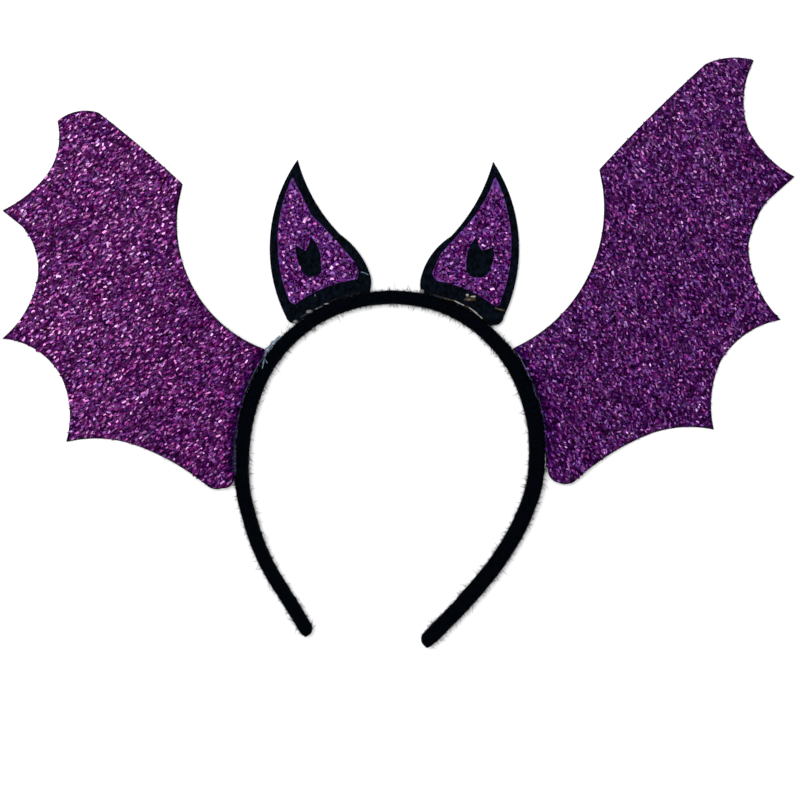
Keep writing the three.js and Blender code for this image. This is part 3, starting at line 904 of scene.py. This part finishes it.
class GlueSettings(PropertyGroup):
    """Sizes and colours of the hot-melt glue."""

    bead: length("Bead", "Mean thickness of the bead along the hoop", 0.9)
    pale: colour("Pale glue", "Colour of the bluish glue by the left wing", (0.16, 0.23, 0.34))
    # painted highlight: the colour of glue where it catches the light
    white: colour("White glue", "Colour of the brightest glue", (0.42, 0.40, 0.36))
    blue: colour("Blue glue", "Colour of the film by the left wing's root", (0.012, 0.011, 0.042))
    thin: colour("Thin glue", "Colour of the fine lines of glue by the right wing", (0.09, 0.078, 0.18))
    dim: colour("Dim glue", "Colour of the bead along the wings' roots", (0.022, 0.024, 0.055))
    faint: colour("Faint glue", "Colour of the bead along the ears' feet", (0.008, 0.009, 0.014))
    clear: colour("Clear glue", "Colour of the greyish glue by the ears", (0.25, 0.26, 0.25))
    golden: colour("Golden glue", "Colour of the aged glue", (0.042, 0.024, 0.008))


class StageSettings(PropertyGroup):
    """The floor, the light and the camera."""

    floor_tint: colour("Floor", "Colour of the floor", (0.93, 0.93, 0.935))
    sky: FloatProperty(name="Sky", description="Strength of the even light", default=0.5)
    key_watts: FloatProperty(
        name="Key light", description="Power of the key light", default=25.0, unit="POWER"
    )
    lens: FloatProperty(name="Lens", description="Focal length", default=150.0, unit="CAMERA")


# Builders shared by the operators


def middle_line(context):
    """The hoop's middle line for the thickness that is set."""
    return MiddleLine(context.scene.headband_hoop.thickness / MM)


def bent_height(start, way, flat, fall, height):
    """The underside's height as a function of a point in the plane: level up to flat from the
    start along the way, then down along half a cosine wave to the surface over fall."""

    def bottom(plane):
        gone = (plane - start) @ way
        share = np.clip((gone - flat) / fall, 0, 1)
        return height * (1 + np.cos(math.pi * share)) / 2

    return bottom


def wing_outlines(line, wing, rim, bead):
    """Outlines of the felt, the glitter sheet and the area with flecks, which also covers the
    bead of glue. Their roots run along the hoop's outer face."""
    datum = line.off(wing.upper, 0)[0]
    edge = arc_outline(wing.corners, datum, wing.side, wing.reach, wing.height, WING_STEP)
    ends = line.at(np.array([wing.lower, wing.upper]))
    whole = even_loop(np.vstack([edge, ends]), WING_STEP)
    outlines = []
    for gap, inset in ((GAP, 0.0), (bead + 2 * GAP, rim), (GAP, rim)):
        loop, root = line.clip(whole, gap)
        loop = even_loop(loop, WING_MESH_STEP)
        pull = inset * smooth_step(0.0, 1.5, distance_to(loop, root))
        outlines.append(loop - loop_normals(loop) * pull[:, None])
    return outlines


def wing_bend(line, wing, root_height):
    """The bent height of a wing: it falls away at right angles to its root's chord."""
    top = line.off(wing.upper, 0)[0]
    low = line.off(wing.lower, 0)[0]
    chord = (low - top) / np.linalg.norm(low - top)
    way = np.array([-chord[1], chord[0]]) * wing.side
    return bent_height(top, way, WING_FLAT, WING_FALL, root_height)


def strewn(outline, grain, along, across, jitter, margin, rng):
    """Points strewn inside a loop, no nearer to it than a margin: bricks of a wall turned to the
    grain, each moved at random by up to the jitter's share of a step either way."""
    turn = np.array([[math.cos(grain), math.sin(grain)], [-math.sin(grain), math.cos(grain)]])
    middle = outline.mean(0)
    reach = np.abs(outline - middle).max() * 1.5
    u, v = np.meshgrid(np.arange(-reach, reach, along), np.arange(-reach, reach, across))
    u[1::2] += along / 2
    spots = np.column_stack([u.ravel(), v.ravel()])
    spots += rng.uniform(-jitter, jitter, spots.shape) * (along, across)
    spots = middle + spots @ turn
    spots = spots[((spots >= outline.min(0)) & (spots <= outline.max(0))).all(1)]
    spots = spots[inside(spots, outline)]
    return spots[distance_to(spots, outline) > margin]


def add_fuzz(base, outline, height, mean, width, count, material, rng):
    """Hairs that stick out of a felt's cut edge, level with it, on random places of its loop."""
    pick = rng.integers(0, len(outline), count)
    normals = loop_normals(outline)[pick]
    roots = outline[pick] + rng.normal(0, 0.4, (count, 2))
    roots -= normals * 0.35
    lift = height(roots) + rng.uniform(0.2, 1.4, count)
    ways = np.column_stack([normals + rng.normal(0, 0.6, (count, 2)), rng.normal(0, 0.35, count)])
    lengths = mean * rng.gamma(4.0, 0.25, count)
    roots = np.column_stack([roots, lift])
    points, faces = hair_points(roots, ways, lengths, width, bend=0.3, rng=rng)
    add_piece(base.name + "_edge_fuzz", points, faces, material, "black_felt")


# The colours from the darkest flecks to the brightest: the foil's own tones, which differ at random,
# and in the upper stops painted glints that stand in for light caught by the flecks
WING_FOIL_AND_GLINTS = [
    (0.0, (0.005, 0.0, 0.007)),
    (0.25, (0.022, 0.0005, 0.028)),
    (0.5, (0.055, 0.008, 0.066)),
    (0.72, (0.102, 0.027, 0.117)),
    (0.86, (0.165, 0.061, 0.174)),
    (0.95, (0.25, 0.12, 0.255)),
    (1.0, (0.34, 0.19, 0.34)),
]
EAR_FOIL_AND_GLINTS = [
    (0.0, (0.006, 0.0, 0.009)),
    (0.3, (0.028, 0.0, 0.034)),
    (0.6, (0.075, 0.012, 0.088)),
    (0.8, (0.13, 0.038, 0.142)),
    (0.92, (0.215, 0.085, 0.218)),
    (1.0, (0.33, 0.17, 0.33)),
]


def foil_and_glint_colours(stops, tone, hue):
    """A colour for each fleck: the stops interpolated at its tone, with red raised and green and
    blue lowered by its hue, or the other way round where that is below 0. Bright flecks, whose tone
    is partly painted glint, take less of it, and lean to pink."""
    tone = np.clip(tone, 0, 1)
    hue = np.clip(hue, -1.8, 1.8) * (1 - 0.8 * tone**2) + 0.25 * tone**2
    places = [place for place, _ in stops]
    colours = interpolated(tone, places, np.array([colour for _, colour in stops]))
    shift = np.column_stack([1 + 0.17 * hue, 1 - 0.4 * hue, 1 - 0.17 * hue])
    return np.clip(colours * shift, 0, 1)


def declare_sheet(outline, hole=None):
    """The area of a sheet cut flat to an outline, less its hole: worked out and left unused."""
    area = abs(signed_area(outline))
    if hole is not None:
        area -= abs(signed_area(hole))


def root_heights(settings):
    """Heights of the undersides of a felt and of the glitter sheet on it where they meet the hoop:
    both together lie in the middle of its width, with the gap between them."""
    felt, sheet = settings.felt / MM, settings.sheet / MM
    low = (HOOP_WIDTH - felt - GAP - sheet) / 2
    return low, low + felt + GAP


def lying_on(bottom, thickness):
    """The underside's height, as a function of a point in the plane, of what lies on a sheet."""
    return lambda plane: bottom(plane) + thickness + GAP


def add_felt(base, outline, hub, bend, thickness, rings, material):
    """The felt sheet of a wing or an ear, in place of the frame's node."""
    points, faces = sheet_points(outline, hub, bend, thickness, FELT_ROUNDING, rings)
    felt = add_piece(base.name + "_felt_sheet", points, faces, material, "black_felt")
    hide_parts(base.name + "_felt")
    return felt


def add_flecks(base, centres, turn, slope, scale, foil, settings, material, slot, rng):
    """The flecks of a wing or an ear: each one's length goes by its scale, its width by the root."""
    length = settings.fleck_length / MM * scale
    width = settings.fleck_width / MM * np.sqrt(scale)
    points, faces = fleck_points(centres, turn, slope, length, width, rng)
    colours = np.repeat(foil, FLECK_POINTS, axis=0)
    add_piece(base.name + "_flecks", points, faces, material, slot, smooth=False, colours=colours)


def build_wing(line, wing, settings, glue, materials):
    """One wing: felt sheet, glitter sheet, flecks and the fuzz of its cut edge."""
    cloth = wing.cloth
    seed = cloth.seed
    felt, sheet, rim = settings.felt / MM, settings.sheet / MM, settings.rim / MM
    bend = wing_bend(line, wing, root_heights(settings)[0])
    felt_loop, sheet_loop, fleck_loop = wing_outlines(line, wing, rim, glue.bead / MM)
    datum = line.off(wing.upper, 0)[0]
    hub = datum + (wing.side * wing.hub[0] * wing.reach, wing.hub[1] * wing.height)
    rng = np.random.default_rng(seed)

    def swell(plane):
        return 0.12 * waves(plane, 24.0, seed) + 0.05 * waves(plane, 5.0, seed + 1)

    back = add_felt(
        wing, felt_loop, hub, bend, thickness=felt, rings=12, material=materials["wing_felt"]
    )
    seat = lying_on(bend, felt)
    points, faces = sheet_points(
        sheet_loop, hub, seat, sheet, SHEET_ROUNDING, rings=22, relief=swell
    )
    name = wing.name + "_glitter_sheet"
    front = add_piece(name, points, faces, materials["wing_ground"], "wing_glitter")
    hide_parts(wing.name + "_glitter")

    grain = math.radians(cloth.grain)
    face_line = line.off(np.linspace(wing.lower, wing.upper, 300), 0)
    claws = np.array([(c.out, c.up) for c in wing.corners if "claw" in c.place])
    claws = datum + claws * (wing.side * wing.reach, wing.height)

    def fleck_layer(along, across, jitter, lift, tone, spread, tilt, size):
        """Centres, tones, slopes and sizes of one layer of flecks, which are fewer and darker next
        to the hoop, as painted shade of the hoop. The left wing's get brighter away from it."""
        spots = strewn(fleck_loop, grain, along, across, jitter, WING_MARGIN, rng)
        spots = spots[distance_to(spots, claws) > CLAW_MARGIN]
        from_hoop = distance_to(spots, face_line)
        keep = rng.uniform(size=len(spots)) < 0.35 + 0.65 * smooth_step(0.6, 3.2, from_hoop)
        spots, from_hoop = spots[keep], from_hoop[keep]
        # painted shade: tones fall next to the hoop, where its shade lies on the wing
        shade = 0.28 * (1 - smooth_step(0.5, 7.0, from_hoop))
        count = len(spots)
        tones = tone + spread * rng.normal(size=count) - shade - cloth.dimming
        tones += 0.04 * waves(spots, 9.0, seed + 4) + 0.015 * waves(spots, 40.0, seed + 5)
        tones += cloth.rise * (spots[:, 1] - hub[1]) / 100
        tones += 0.06 * smooth_step(30.0, 90.0, from_hoop) * (wing.side < 0)
        heights = seat(spots) + sheet + swell(spots) + rng.uniform(lift, lift + 0.2, count)
        sizes = size * rng.gamma(14.0, 1 / 14.0, count)
        return np.column_stack([spots, heights]), tones, rng.normal(0, tilt, (count, 2)), sizes

    pitch = settings.pitch_along / MM, settings.pitch_across / MM
    crest = cloth.crest_pitch
    low = fleck_layer(*pitch, jitter=0.5, lift=0.05, tone=0.38, spread=0.2, tilt=0.24, size=1.0)
    raised = fleck_layer(
        crest * 0.5, crest * 0.42, jitter=0.45, lift=0.2, tone=0.58, spread=0.16, tilt=0.2, size=0.95
    )
    # the crest layer: its high tones are painted glints, flecks coloured as if they caught the light
    bright = fleck_layer(
        crest, crest * 0.8, jitter=0.35, lift=0.4, tone=0.84, spread=0.08, tilt=0.08,
        size=cloth.crest_size,
    )
    layers = zip(low, raised, bright)
    centres, tones, slope, size = (np.concatenate(parts) for parts in layers)
    count = len(centres)
    turn = grain + np.radians(cloth.scatter) * rng.normal(size=count)
    turn += 0.12 * waves(centres[:, :2], 14.0, seed + 2)
    turn += np.where(rng.uniform(size=count) < 0.08, rng.uniform(0, math.pi, count), 0)
    by_hoop = 1 - smooth_step(0.5, 4.5, distance_to(centres[:, :2], face_line))
    foil = foil_and_glint_colours(WING_FOIL_AND_GLINTS, tones, cloth.hue + rng.normal(size=count) - 1.3 * by_hoop)
    add_flecks(
        wing, centres, turn, slope, size, foil, settings, materials["wing_fleck"], "wing_glitter", rng
    )
    fuzz = materials["wing_felt"]
    add_fuzz(wing, felt_loop, bend, mean=0.55, width=0.07, count=900, material=fuzz, rng=rng)
    declare_sheet(felt_loop)
    declare_sheet(sheet_loop)


def ear_frame(line, ear):
    """The ear's datum, the way it leans away from the hoop, and its hub."""
    datum = line.off(ear.seat, 0)[0] + (0, ear.lift)
    way = line.outward(np.atleast_1d(ear.seat))[0]
    hub = datum + (ear.side * EAR_HUB[0] * EAR_WIDTH, EAR_HUB[1] * EAR_HEIGHT)
    return datum, way, hub


def build_ear(line, ear, settings, materials):
    """One ear: felt sheet, glitter foam with its cut-out, flecks and fuzz."""
    felt, sheet = settings.felt / MM, settings.sheet / MM
    datum, way, hub = ear_frame(line, ear)
    placing = (datum, ear.side, EAR_WIDTH, EAR_HEIGHT)
    edge = closed_outline(ear.corners, *placing, EAR_STEP)
    tip = ((edge - datum) @ way).max()
    bend = bent_height(datum, way, EAR_FLAT, tip - EAR_FLAT, root_heights(settings)[0])
    rng = np.random.default_rng(ear.seed)

    loop, _ = line.clip(edge, GAP)
    loop = even_loop(loop, EAR_MESH_STEP)
    back = add_felt(ear, loop, hub, bend, thickness=felt, rings=14, material=materials["ear_felt"])
    seat = lying_on(bend, felt)

    def swell(plane):
        return 0.06 * waves(plane, 9.0, ear.seed)

    cut = closed_outline(ear.cut, *placing, EAR_STEP)
    outer = closed_outline(ear.sheet, *placing, FOAM_STEP)
    middle = cut.mean(0)
    angles = ear.side * np.linspace(0, TURN, 320, endpoint=False)
    inner_ring = by_angle(cut, middle, -angles)
    outer_ring = by_angle(outer, middle, -angles)
    points, faces = ring_sheet_points(
        outer_ring, inner_ring, seat, sheet, FOAM_ROUNDING, steps=22, relief=swell
    )
    if ear.side > 0:
        faces = [f[:, ::-1] for f in faces]
    front = add_piece(ear.name + "_glitter_foam", points, faces, materials["ear_foam"], "ear_glitter")
    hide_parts(ear.name + "_glitter")

    def fleck_layer(pitch, jitter, lift, tone, spread, tilt, share):
        """Centres, tones and slopes of one layer of flecks, which are few near the ear's point."""
        spots = strewn(outer, 0.4, pitch, pitch * 0.9, jitter, EAR_MARGIN, rng)
        spots = spots[~inside(spots, cut) & (distance_to(spots, cut) > CUT_MARGIN)]
        bare = smooth_step(0.66, 0.75, (spots[:, 1] - datum[1]) / EAR_HEIGHT)
        spots = spots[rng.uniform(size=len(spots)) < share * (1 - 0.9 * bare)]
        tones = tone + spread * rng.normal(size=len(spots)) - ear.dimming
        tones += 0.05 * waves(spots, 7.0, ear.seed + 3)
        heights = seat(spots) + sheet + swell(spots) + rng.uniform(lift, lift + 0.15, len(spots))
        return np.column_stack([spots, heights]), tones, rng.normal(0, tilt, (len(spots), 2))

    pitch = settings.pitch / MM
    low = fleck_layer(pitch, jitter=0.5, lift=0.0, tone=0.29, spread=0.23, tilt=0.22, share=0.97)
    raised = fleck_layer(
        pitch * 2.0, jitter=0.45, lift=0.15, tone=0.54, spread=0.15, tilt=0.18, share=0.9
    )
    # the bright layer: its high tones are painted glints, flecks coloured as if they caught the light
    bright = fleck_layer(
        pitch * 3.4, jitter=0.35, lift=0.3, tone=0.94, spread=0.1, tilt=0.12, share=1.0
    )
    layers = zip(low, raised, bright)
    centres, tones, slope = (np.concatenate(parts) for parts in layers)
    count = len(centres)
    foil = foil_and_glint_colours(EAR_FOIL_AND_GLINTS, tones, rng.normal(-0.4, 1.1, count))
    size = rng.gamma(12.0, 1 / 12.0, count)
    turn = rng.uniform(0, TURN, count)
    add_flecks(
        ear, centres, turn, slope, size, foil, settings, materials["ear_fleck"], "ear_glitter", rng
    )
    fuzz = materials["ear_felt"]
    add_fuzz(ear, loop, bend, mean=0.45, width=0.06, count=500, material=fuzz, rng=rng)
    declare_sheet(loop)
    declare_sheet(outer, cut)


def glue_run(line, start, end, height, bead, seed):
    """The bead along the hoop's outer face: a tube whose radius wavers by up to half of its mean
    and closes at both ends."""
    places = np.linspace(start, end, 160)
    share = np.linspace(0, 1, len(places))
    wobble = np.clip(waves(places[:, None] * line.length, 6.0, seed), -1, 1)
    radius = bead * 0.4 * (1 + 0.5 * wobble)
    radius *= smooth_step(0, 0.06, share) * smooth_step(0, 0.06, 1 - share)
    middle = line.off(places, GAP + bead / 2)
    path = np.column_stack([middle, np.full(len(places), height + bead / 2)])
    return tube_points(path, np.maximum(radius, 0.03), sides=10)


def smoothed(values, width):
    """Values averaged with a raised-cosine window of an odd width, with their ends held."""
    window = np.hanning(width + 2)[1:-1]
    half = width // 2
    return np.convolve(np.pad(values, half, mode="edge"), window / window.sum(), "valid")


def glue_string(line, hoop, string, seed):
    """A string of glue laid over a few spots: a flattened tube along the smoothed line through
    them, on the surface below, whose radius wavers and thins out towards both ends."""
    spots = np.asarray(string.spots, float)
    along = distance_along(spots)
    run = along[-1]
    share = np.linspace(0, 1, max(12, math.ceil(run / 0.3)))
    plane = interpolated(share * run, along, spots)
    plane = np.column_stack([smoothed(column, 7) for column in plane.T])
    wobble = 1 + 0.3 * np.clip(waves(share[:, None] * run, 3.0, seed), -1, 1)
    radius = string.radius * wobble * np.sqrt(np.clip(share * (1 - share) * 12, 0.05, 1))
    height = smoothed(top_height(line, hoop, plane, string.rest), 5) + string.flat * radius * 0.7
    return tube_points(np.column_stack([plane, height]), radius, squash=string.flat)


def top_height(line, hoop, spots, rest):
    """Height of the surface below each spot: the hoop's rounded top, a little up its pile, where it
    is over the hoop, and the height rest of the sheet beside it elsewhere."""
    places = line.nearest(spots)
    off = np.abs(np.sum((spots - line.at(places)) * line.outward(places), axis=1))
    flat, corner = hoop.edge_flat / MM / 2, hoop.corner / MM
    share = np.clip((off - flat) / (line.thickness(places) / 2 - flat), 0, 1)
    top = HOOP_WIDTH - corner * (1 - np.sqrt(1 - share**2)) + hoop.pile / MM * 0.8
    return np.where(share < 1, top, rest)


# Operators


class HEADBAND_OT_hoop(Operator):
    """Build the velvet hoop with its pile and loose hairs"""

    bl_idname = "headband.hoop"
    bl_label = "Build Hoop"

    def execute(self, context):
        settings = context.scene.headband_hoop
        line = middle_line(context)
        material = cloth_material(
            "hoop_velvet", settings.tint, lighter=3.5, scale=700, bump=0.5, level=0.012
        )
        points, normals = self.sections(line, settings)
        relief = 0.05 * waves(points, 2.5, 1) + 0.05 * waves(points, 9.0, 2)
        points = points + normals * relief[..., None]
        rows, columns = points.shape[:2]
        points[..., 2] = np.maximum(points[..., 2], 0.0)
        ends = [points[0].mean(0), points[-1].mean(0)]
        flat = np.vstack([points.reshape(-1, 3), ends])
        velvet = add_piece("hoop_velvet", flat, closed_grid(rows, columns), material, "velvet")
        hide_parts("hoop")
        rng = np.random.default_rng(5)
        roots, ways = self.hair_roots(points, normals, settings.pile_count, spread=0.5, rng=rng)
        lengths = settings.pile / MM * rng.gamma(5.0, 0.2, len(roots))
        pile = spike_points(roots, ways, lengths, width=0.18, rng=rng)
        add_piece("hoop_pile", *pile, material, "velvet")
        roots, ways = self.hair_roots(points, normals, settings.wisp_count, spread=0.7, rng=rng)
        lengths = settings.wisp / MM * rng.gamma(3.0, 0.33, len(roots))
        wisps = hair_points(roots, ways, lengths, width=0.2, bend=0.5, rng=rng)
        add_piece("hoop_wisps", *wisps, material, "velvet")
        return {"FINISHED"}

    def hair_roots(self, points, normals, count, spread, rng):
        """Roots strewn a little below the velvet's surface, and ways out of it that are turned at
        random by the spread."""
        after = np.roll(points, -1, 1)
        gaps = np.linalg.norm(after - points, axis=-1)[len(points) // 2]
        row = rng.integers(6, len(points) - 6, count)
        column = rng.choice(len(gaps), count, p=gaps / gaps.sum())
        share = rng.uniform(size=(count, 1))
        roots = points[row, column] * (1 - share) + after[row, column] * share
        roots += rng.normal(0, 0.15, (count, 3)) - normals[row, column] * 0.12
        ways = normals[row, column] + rng.normal(0, spread, (count, 3))
        return roots, ways

    def sections(self, line, settings):
        """Points and normals of the hoop, as a function of the place and the turn.

        A section is flat along both edges with elliptical corners: half the flat plus the corner's
        reach times the turn's cosine across, and likewise with its sine along the width. At the
        arms' ends the place moves in by 1 - cos and the section grows with the root g of the sine,
        and its middle lies outwards by ARM_END_LEAN (1 - g) of half the thickness.
        """
        turn = np.linspace(0.02, math.pi / 2, 12)[:-1]
        near = ARM_END_ROUND / line.length
        nose = near * (1 - np.cos(turn))
        places = np.concatenate([nose, np.linspace(near, 1 - near, HOOP_STEPS), 1 - nose[::-1]])
        grow = np.sqrt(np.sin(turn))
        grow = np.concatenate([grow, np.ones(HOOP_STEPS), grow[::-1]])
        quarter = np.linspace(0, math.pi / 2, 8)
        around = np.concatenate([quarter + k * math.pi / 2 for k in range(4)])
        flat_across = np.repeat([1, -1, -1, 1], len(quarter)) * settings.edge_flat / MM / 2
        half_flat = HOOP_WIDTH / 2 - settings.corner / MM
        flat_along = np.repeat([1, 1, -1, -1], len(quarter)) * half_flat
        thickness = line.thickness(places)[:, None]
        corner_across = (thickness - settings.edge_flat / MM) / 2
        grow = grow[:, None]
        across = (flat_across + corner_across * np.cos(around)) * grow
        across += ARM_END_LEAN * (1 - grow) * thickness / 2
        along = (flat_along + settings.corner / MM * np.sin(around)) * grow
        outward = line.outward(places)
        onwards = np.column_stack([outward[:, 1], -outward[:, 0]])
        extra = RIGHT_ARM_EXTRA * np.clip((places - 1 + near) / near, 0, 1)
        middle = line.at(places) + onwards * extra[:, None]
        centres = np.column_stack([middle, np.full(len(places), HOOP_WIDTH / 2)])[:, None]
        sections = np.stack([across * outward[:, :1], across * outward[:, 1:], along], -1)
        cosine = np.cos(around)
        sine = np.broadcast_to(np.sin(around), across.shape)
        normals = np.stack([cosine * outward[:, :1], cosine * outward[:, 1:], sine], -1)
        return centres + sections, normals


class HEADBAND_OT_wings(Operator):
    """Build both wings with their felt, glitter sheet and flecks"""

    bl_idname = "headband.wings"
    bl_label = "Build Wings"

    def execute(self, context):
        settings = context.scene.headband_wings
        line = middle_line(context)
        materials = {
            "wing_felt": cloth_material(
                "wing_felt", settings.felt_tint,
                lighter=6.5, scale=520, bump=0.8, level=0.03, stretch=(1, 0.6, 1),
            ),
            "wing_ground": glitter_ground_material(
                "wing_ground", settings.ground_dark, settings.ground_light, scale=700, metallic=0.3
            ),
            "wing_fleck": fleck_material("wing_fleck", metallic=1.0, roughness=0.44),
        }
        for wing in WINGS:
            build_wing(line, wing, settings, context.scene.headband_glue, materials)
        return {"FINISHED"}


class HEADBAND_OT_ears(Operator):
    """Build both ears with their felt, glitter foam and flecks"""

    bl_idname = "headband.ears"
    bl_label = "Build Ears"

    def execute(self, context):
        settings = context.scene.headband_ears
        line = middle_line(context)
        materials = {
            "ear_felt": cloth_material(
                "ear_felt", settings.felt_tint,
                lighter=8.5, scale=620, bump=0.8, level=0.03, stretch=(1, 0.7, 1),
            ),
            "ear_foam": glitter_ground_material(
                "ear_foam", settings.foam_dark, settings.foam_light, scale=500, metallic=0.1
            ),
            "ear_fleck": fleck_material("ear_fleck", metallic=1.0, roughness=0.44),
        }
        for ear in EARS:
            build_ear(line, ear, settings, materials)
        return {"FINISHED"}


class HEADBAND_OT_glue(Operator):
    """Build the hot-melt glue that holds the wings and ears"""

    bl_idname = "headband.glue"
    bl_label = "Build Glue"

    def execute(self, context):
        settings = context.scene.headband_glue
        wings, ears = context.scene.headband_wings, context.scene.headband_ears
        line = middle_line(context)
        hoop = context.scene.headband_hoop
        kinds = {}
        for kind in GLUE_KINDS:
            tint = getattr(settings, kind.name)
            kinds[kind.name] = glue_material(kind.name + "_glue", tint, kind.clear, kind.gloss)
        bead = settings.bead / MM
        wing_top, ear_top = root_heights(wings)[1], root_heights(ears)[1]
        runs = [(w.name, w.upper, w.lower, wing_top, w.cloth.seed, "dim") for w in WINGS]
        runs += [(e.name, e.bead_from, e.bead_to, ear_top - 0.75, e.seed, "faint") for e in EARS]
        for name, start, end, height, seed, kind in runs:
            points, faces = glue_run(line, min(start, end), max(start, end), height, bead, seed)
            run = add_piece(name + "_glue_run", points, faces, kinds[kind], "glue")
            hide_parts(name + "_glue")
        for number, string in enumerate(STRINGS):
            points, faces = glue_string(line, hoop, string, number)
            add_piece(string.name, points, faces, kinds[string.kind], "glue")
        for number, lump in enumerate(LUMPS):
            points, faces = blob_points(lump.middle, lump.size, number)
            add_piece(lump.name, points, faces, kinds[lump.kind], "glue")
        return {"FINISHED"}


class HEADBAND_OT_stage(Operator):
    """Build the floor, the light and the camera"""

    bl_idname = "headband.stage"
    bl_label = "Build Stage"

    def execute(self, context):
        settings = context.scene.headband_stage
        scene = context.scene
        self.add_floor(settings)
        self.add_light(scene, settings)
        self.add_camera(scene, settings)
        scene.view_settings.view_transform = "Standard"
        return {"FINISHED"}

    def add_floor(self, settings):
        """A square floor six metres wide, with its top on z = 0."""
        material, tree, shader = new_material("floor")
        tint = tuple(settings.floor_tint)
        paler = tuple(min(1.0, c * 1.02) for c in tint)
        shade = colour_ramp(tree, object_noise(tree, scale=3.0), [(0.3, tint), (0.7, paler)])
        tree.links.new(shade, shader.inputs["Base Color"])
        shader.inputs["Roughness"].default_value = 0.9
        shader.inputs["Specular IOR Level"].default_value = 0.0
        half = FLOOR_HALF
        corners = [(-half, -half, 0), (half, -half, 0), (half, half, 0), (-half, half, 0)]
        mesh = bpy.data.meshes.new("floor")
        mesh.from_pydata(corners, [], [(0, 1, 2, 3)])
        mesh.materials.append(material)
        floor = bpy.data.objects.new("floor", mesh)
        bpy.context.scene.collection.objects.link(floor)

    def add_light(self, scene, settings):
        """An even sky, and a broad key light above the camera, which hides the shadows."""
        world = bpy.data.worlds.new("sky")
        scene.world = world
        world.use_nodes = True
        background = world.node_tree.nodes["Background"]
        background.inputs["Color"].default_value = (1.0, 1.0, 1.0, 1.0)
        background.inputs["Strength"].default_value = settings.sky
        data = bpy.data.lights.new("key", "AREA")
        data.shape = "DISK"
        data.size = KEY_LIGHT_SIZE
        data.energy = settings.key_watts
        light = bpy.data.objects.new("key", data)
        light.location = KEY_LIGHT_PLACE
        light.rotation_euler = (-light.location).to_track_quat("-Z", "Y").to_euler()
        light.visible_camera = False
        scene.collection.objects.link(light)

    def add_camera(self, scene, settings):
        """A camera straight above, so far off that the photo's width fills the frame at the height
        of CAMERA_LIFT."""
        data = bpy.data.cameras.new("camera")
        data.lens = settings.lens
        data.sensor_width = SENSOR_WIDTH
        width = PHOTO_WIDTH_PX * MM_PER_PX * MM
        distance = settings.lens / SENSOR_WIDTH * width
        x, y = PHOTO_MIDDLE
        camera = bpy.data.objects.new("camera", data)
        camera.location = (x * MM, y * MM, distance + CAMERA_LIFT)
        camera.rotation_euler = (0, 0, 0)
        scene.collection.objects.link(camera)
        scene.camera = camera


class HEADBAND_PT_panel(Panel):
    """Lists the headband's builders and their settings"""

    bl_idname = "HEADBAND_PT_panel"
    bl_label = "Headband"
    bl_space_type = "VIEW_3D"
    bl_region_type = "UI"
    bl_category = "Headband"

    def draw(self, context):
        for operator, settings in BUILDERS:
            box = self.layout.box()
            box.operator(operator.bl_idname)
            group = getattr(context.scene, settings)
            for key in group.bl_rna.properties.keys():
                if key not in ("rna_type", "name"):
                    box.prop(group, key)


SETTINGS = {
    "headband_stage": StageSettings,
    "headband_hoop": HoopSettings,
    "headband_wings": WingSettings,
    "headband_ears": EarSettings,
    "headband_glue": GlueSettings,
}
BUILDERS = (
    (HEADBAND_OT_stage, "headband_stage"),
    (HEADBAND_OT_hoop, "headband_hoop"),
    (HEADBAND_OT_wings, "headband_wings"),
    (HEADBAND_OT_ears, "headband_ears"),
    (HEADBAND_OT_glue, "headband_glue"),
)


def register():
    for group in SETTINGS.values():
        bpy.utils.register_class(group)
    for key, group in SETTINGS.items():
        setattr(bpy.types.Scene, key, PointerProperty(type=group))
    for operator, _ in BUILDERS:
        bpy.utils.register_class(operator)
    bpy.utils.register_class(HEADBAND_PT_panel)


def unregister():
    bpy.utils.unregister_class(HEADBAND_PT_panel)
    for operator, _ in reversed(BUILDERS):
        bpy.utils.unregister_class(operator)
    for key in SETTINGS:
        delattr(bpy.types.Scene, key)
    for group in reversed(SETTINGS.values()):
        bpy.utils.unregister_class(group)


def main():
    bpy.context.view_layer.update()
    register()
    bpy.ops.headband.stage()
    bpy.ops.headband.hoop()
    bpy.ops.headband.wings()
    bpy.ops.headband.ears()
    bpy.ops.headband.glue()


if __name__ == "__main__":
    main()
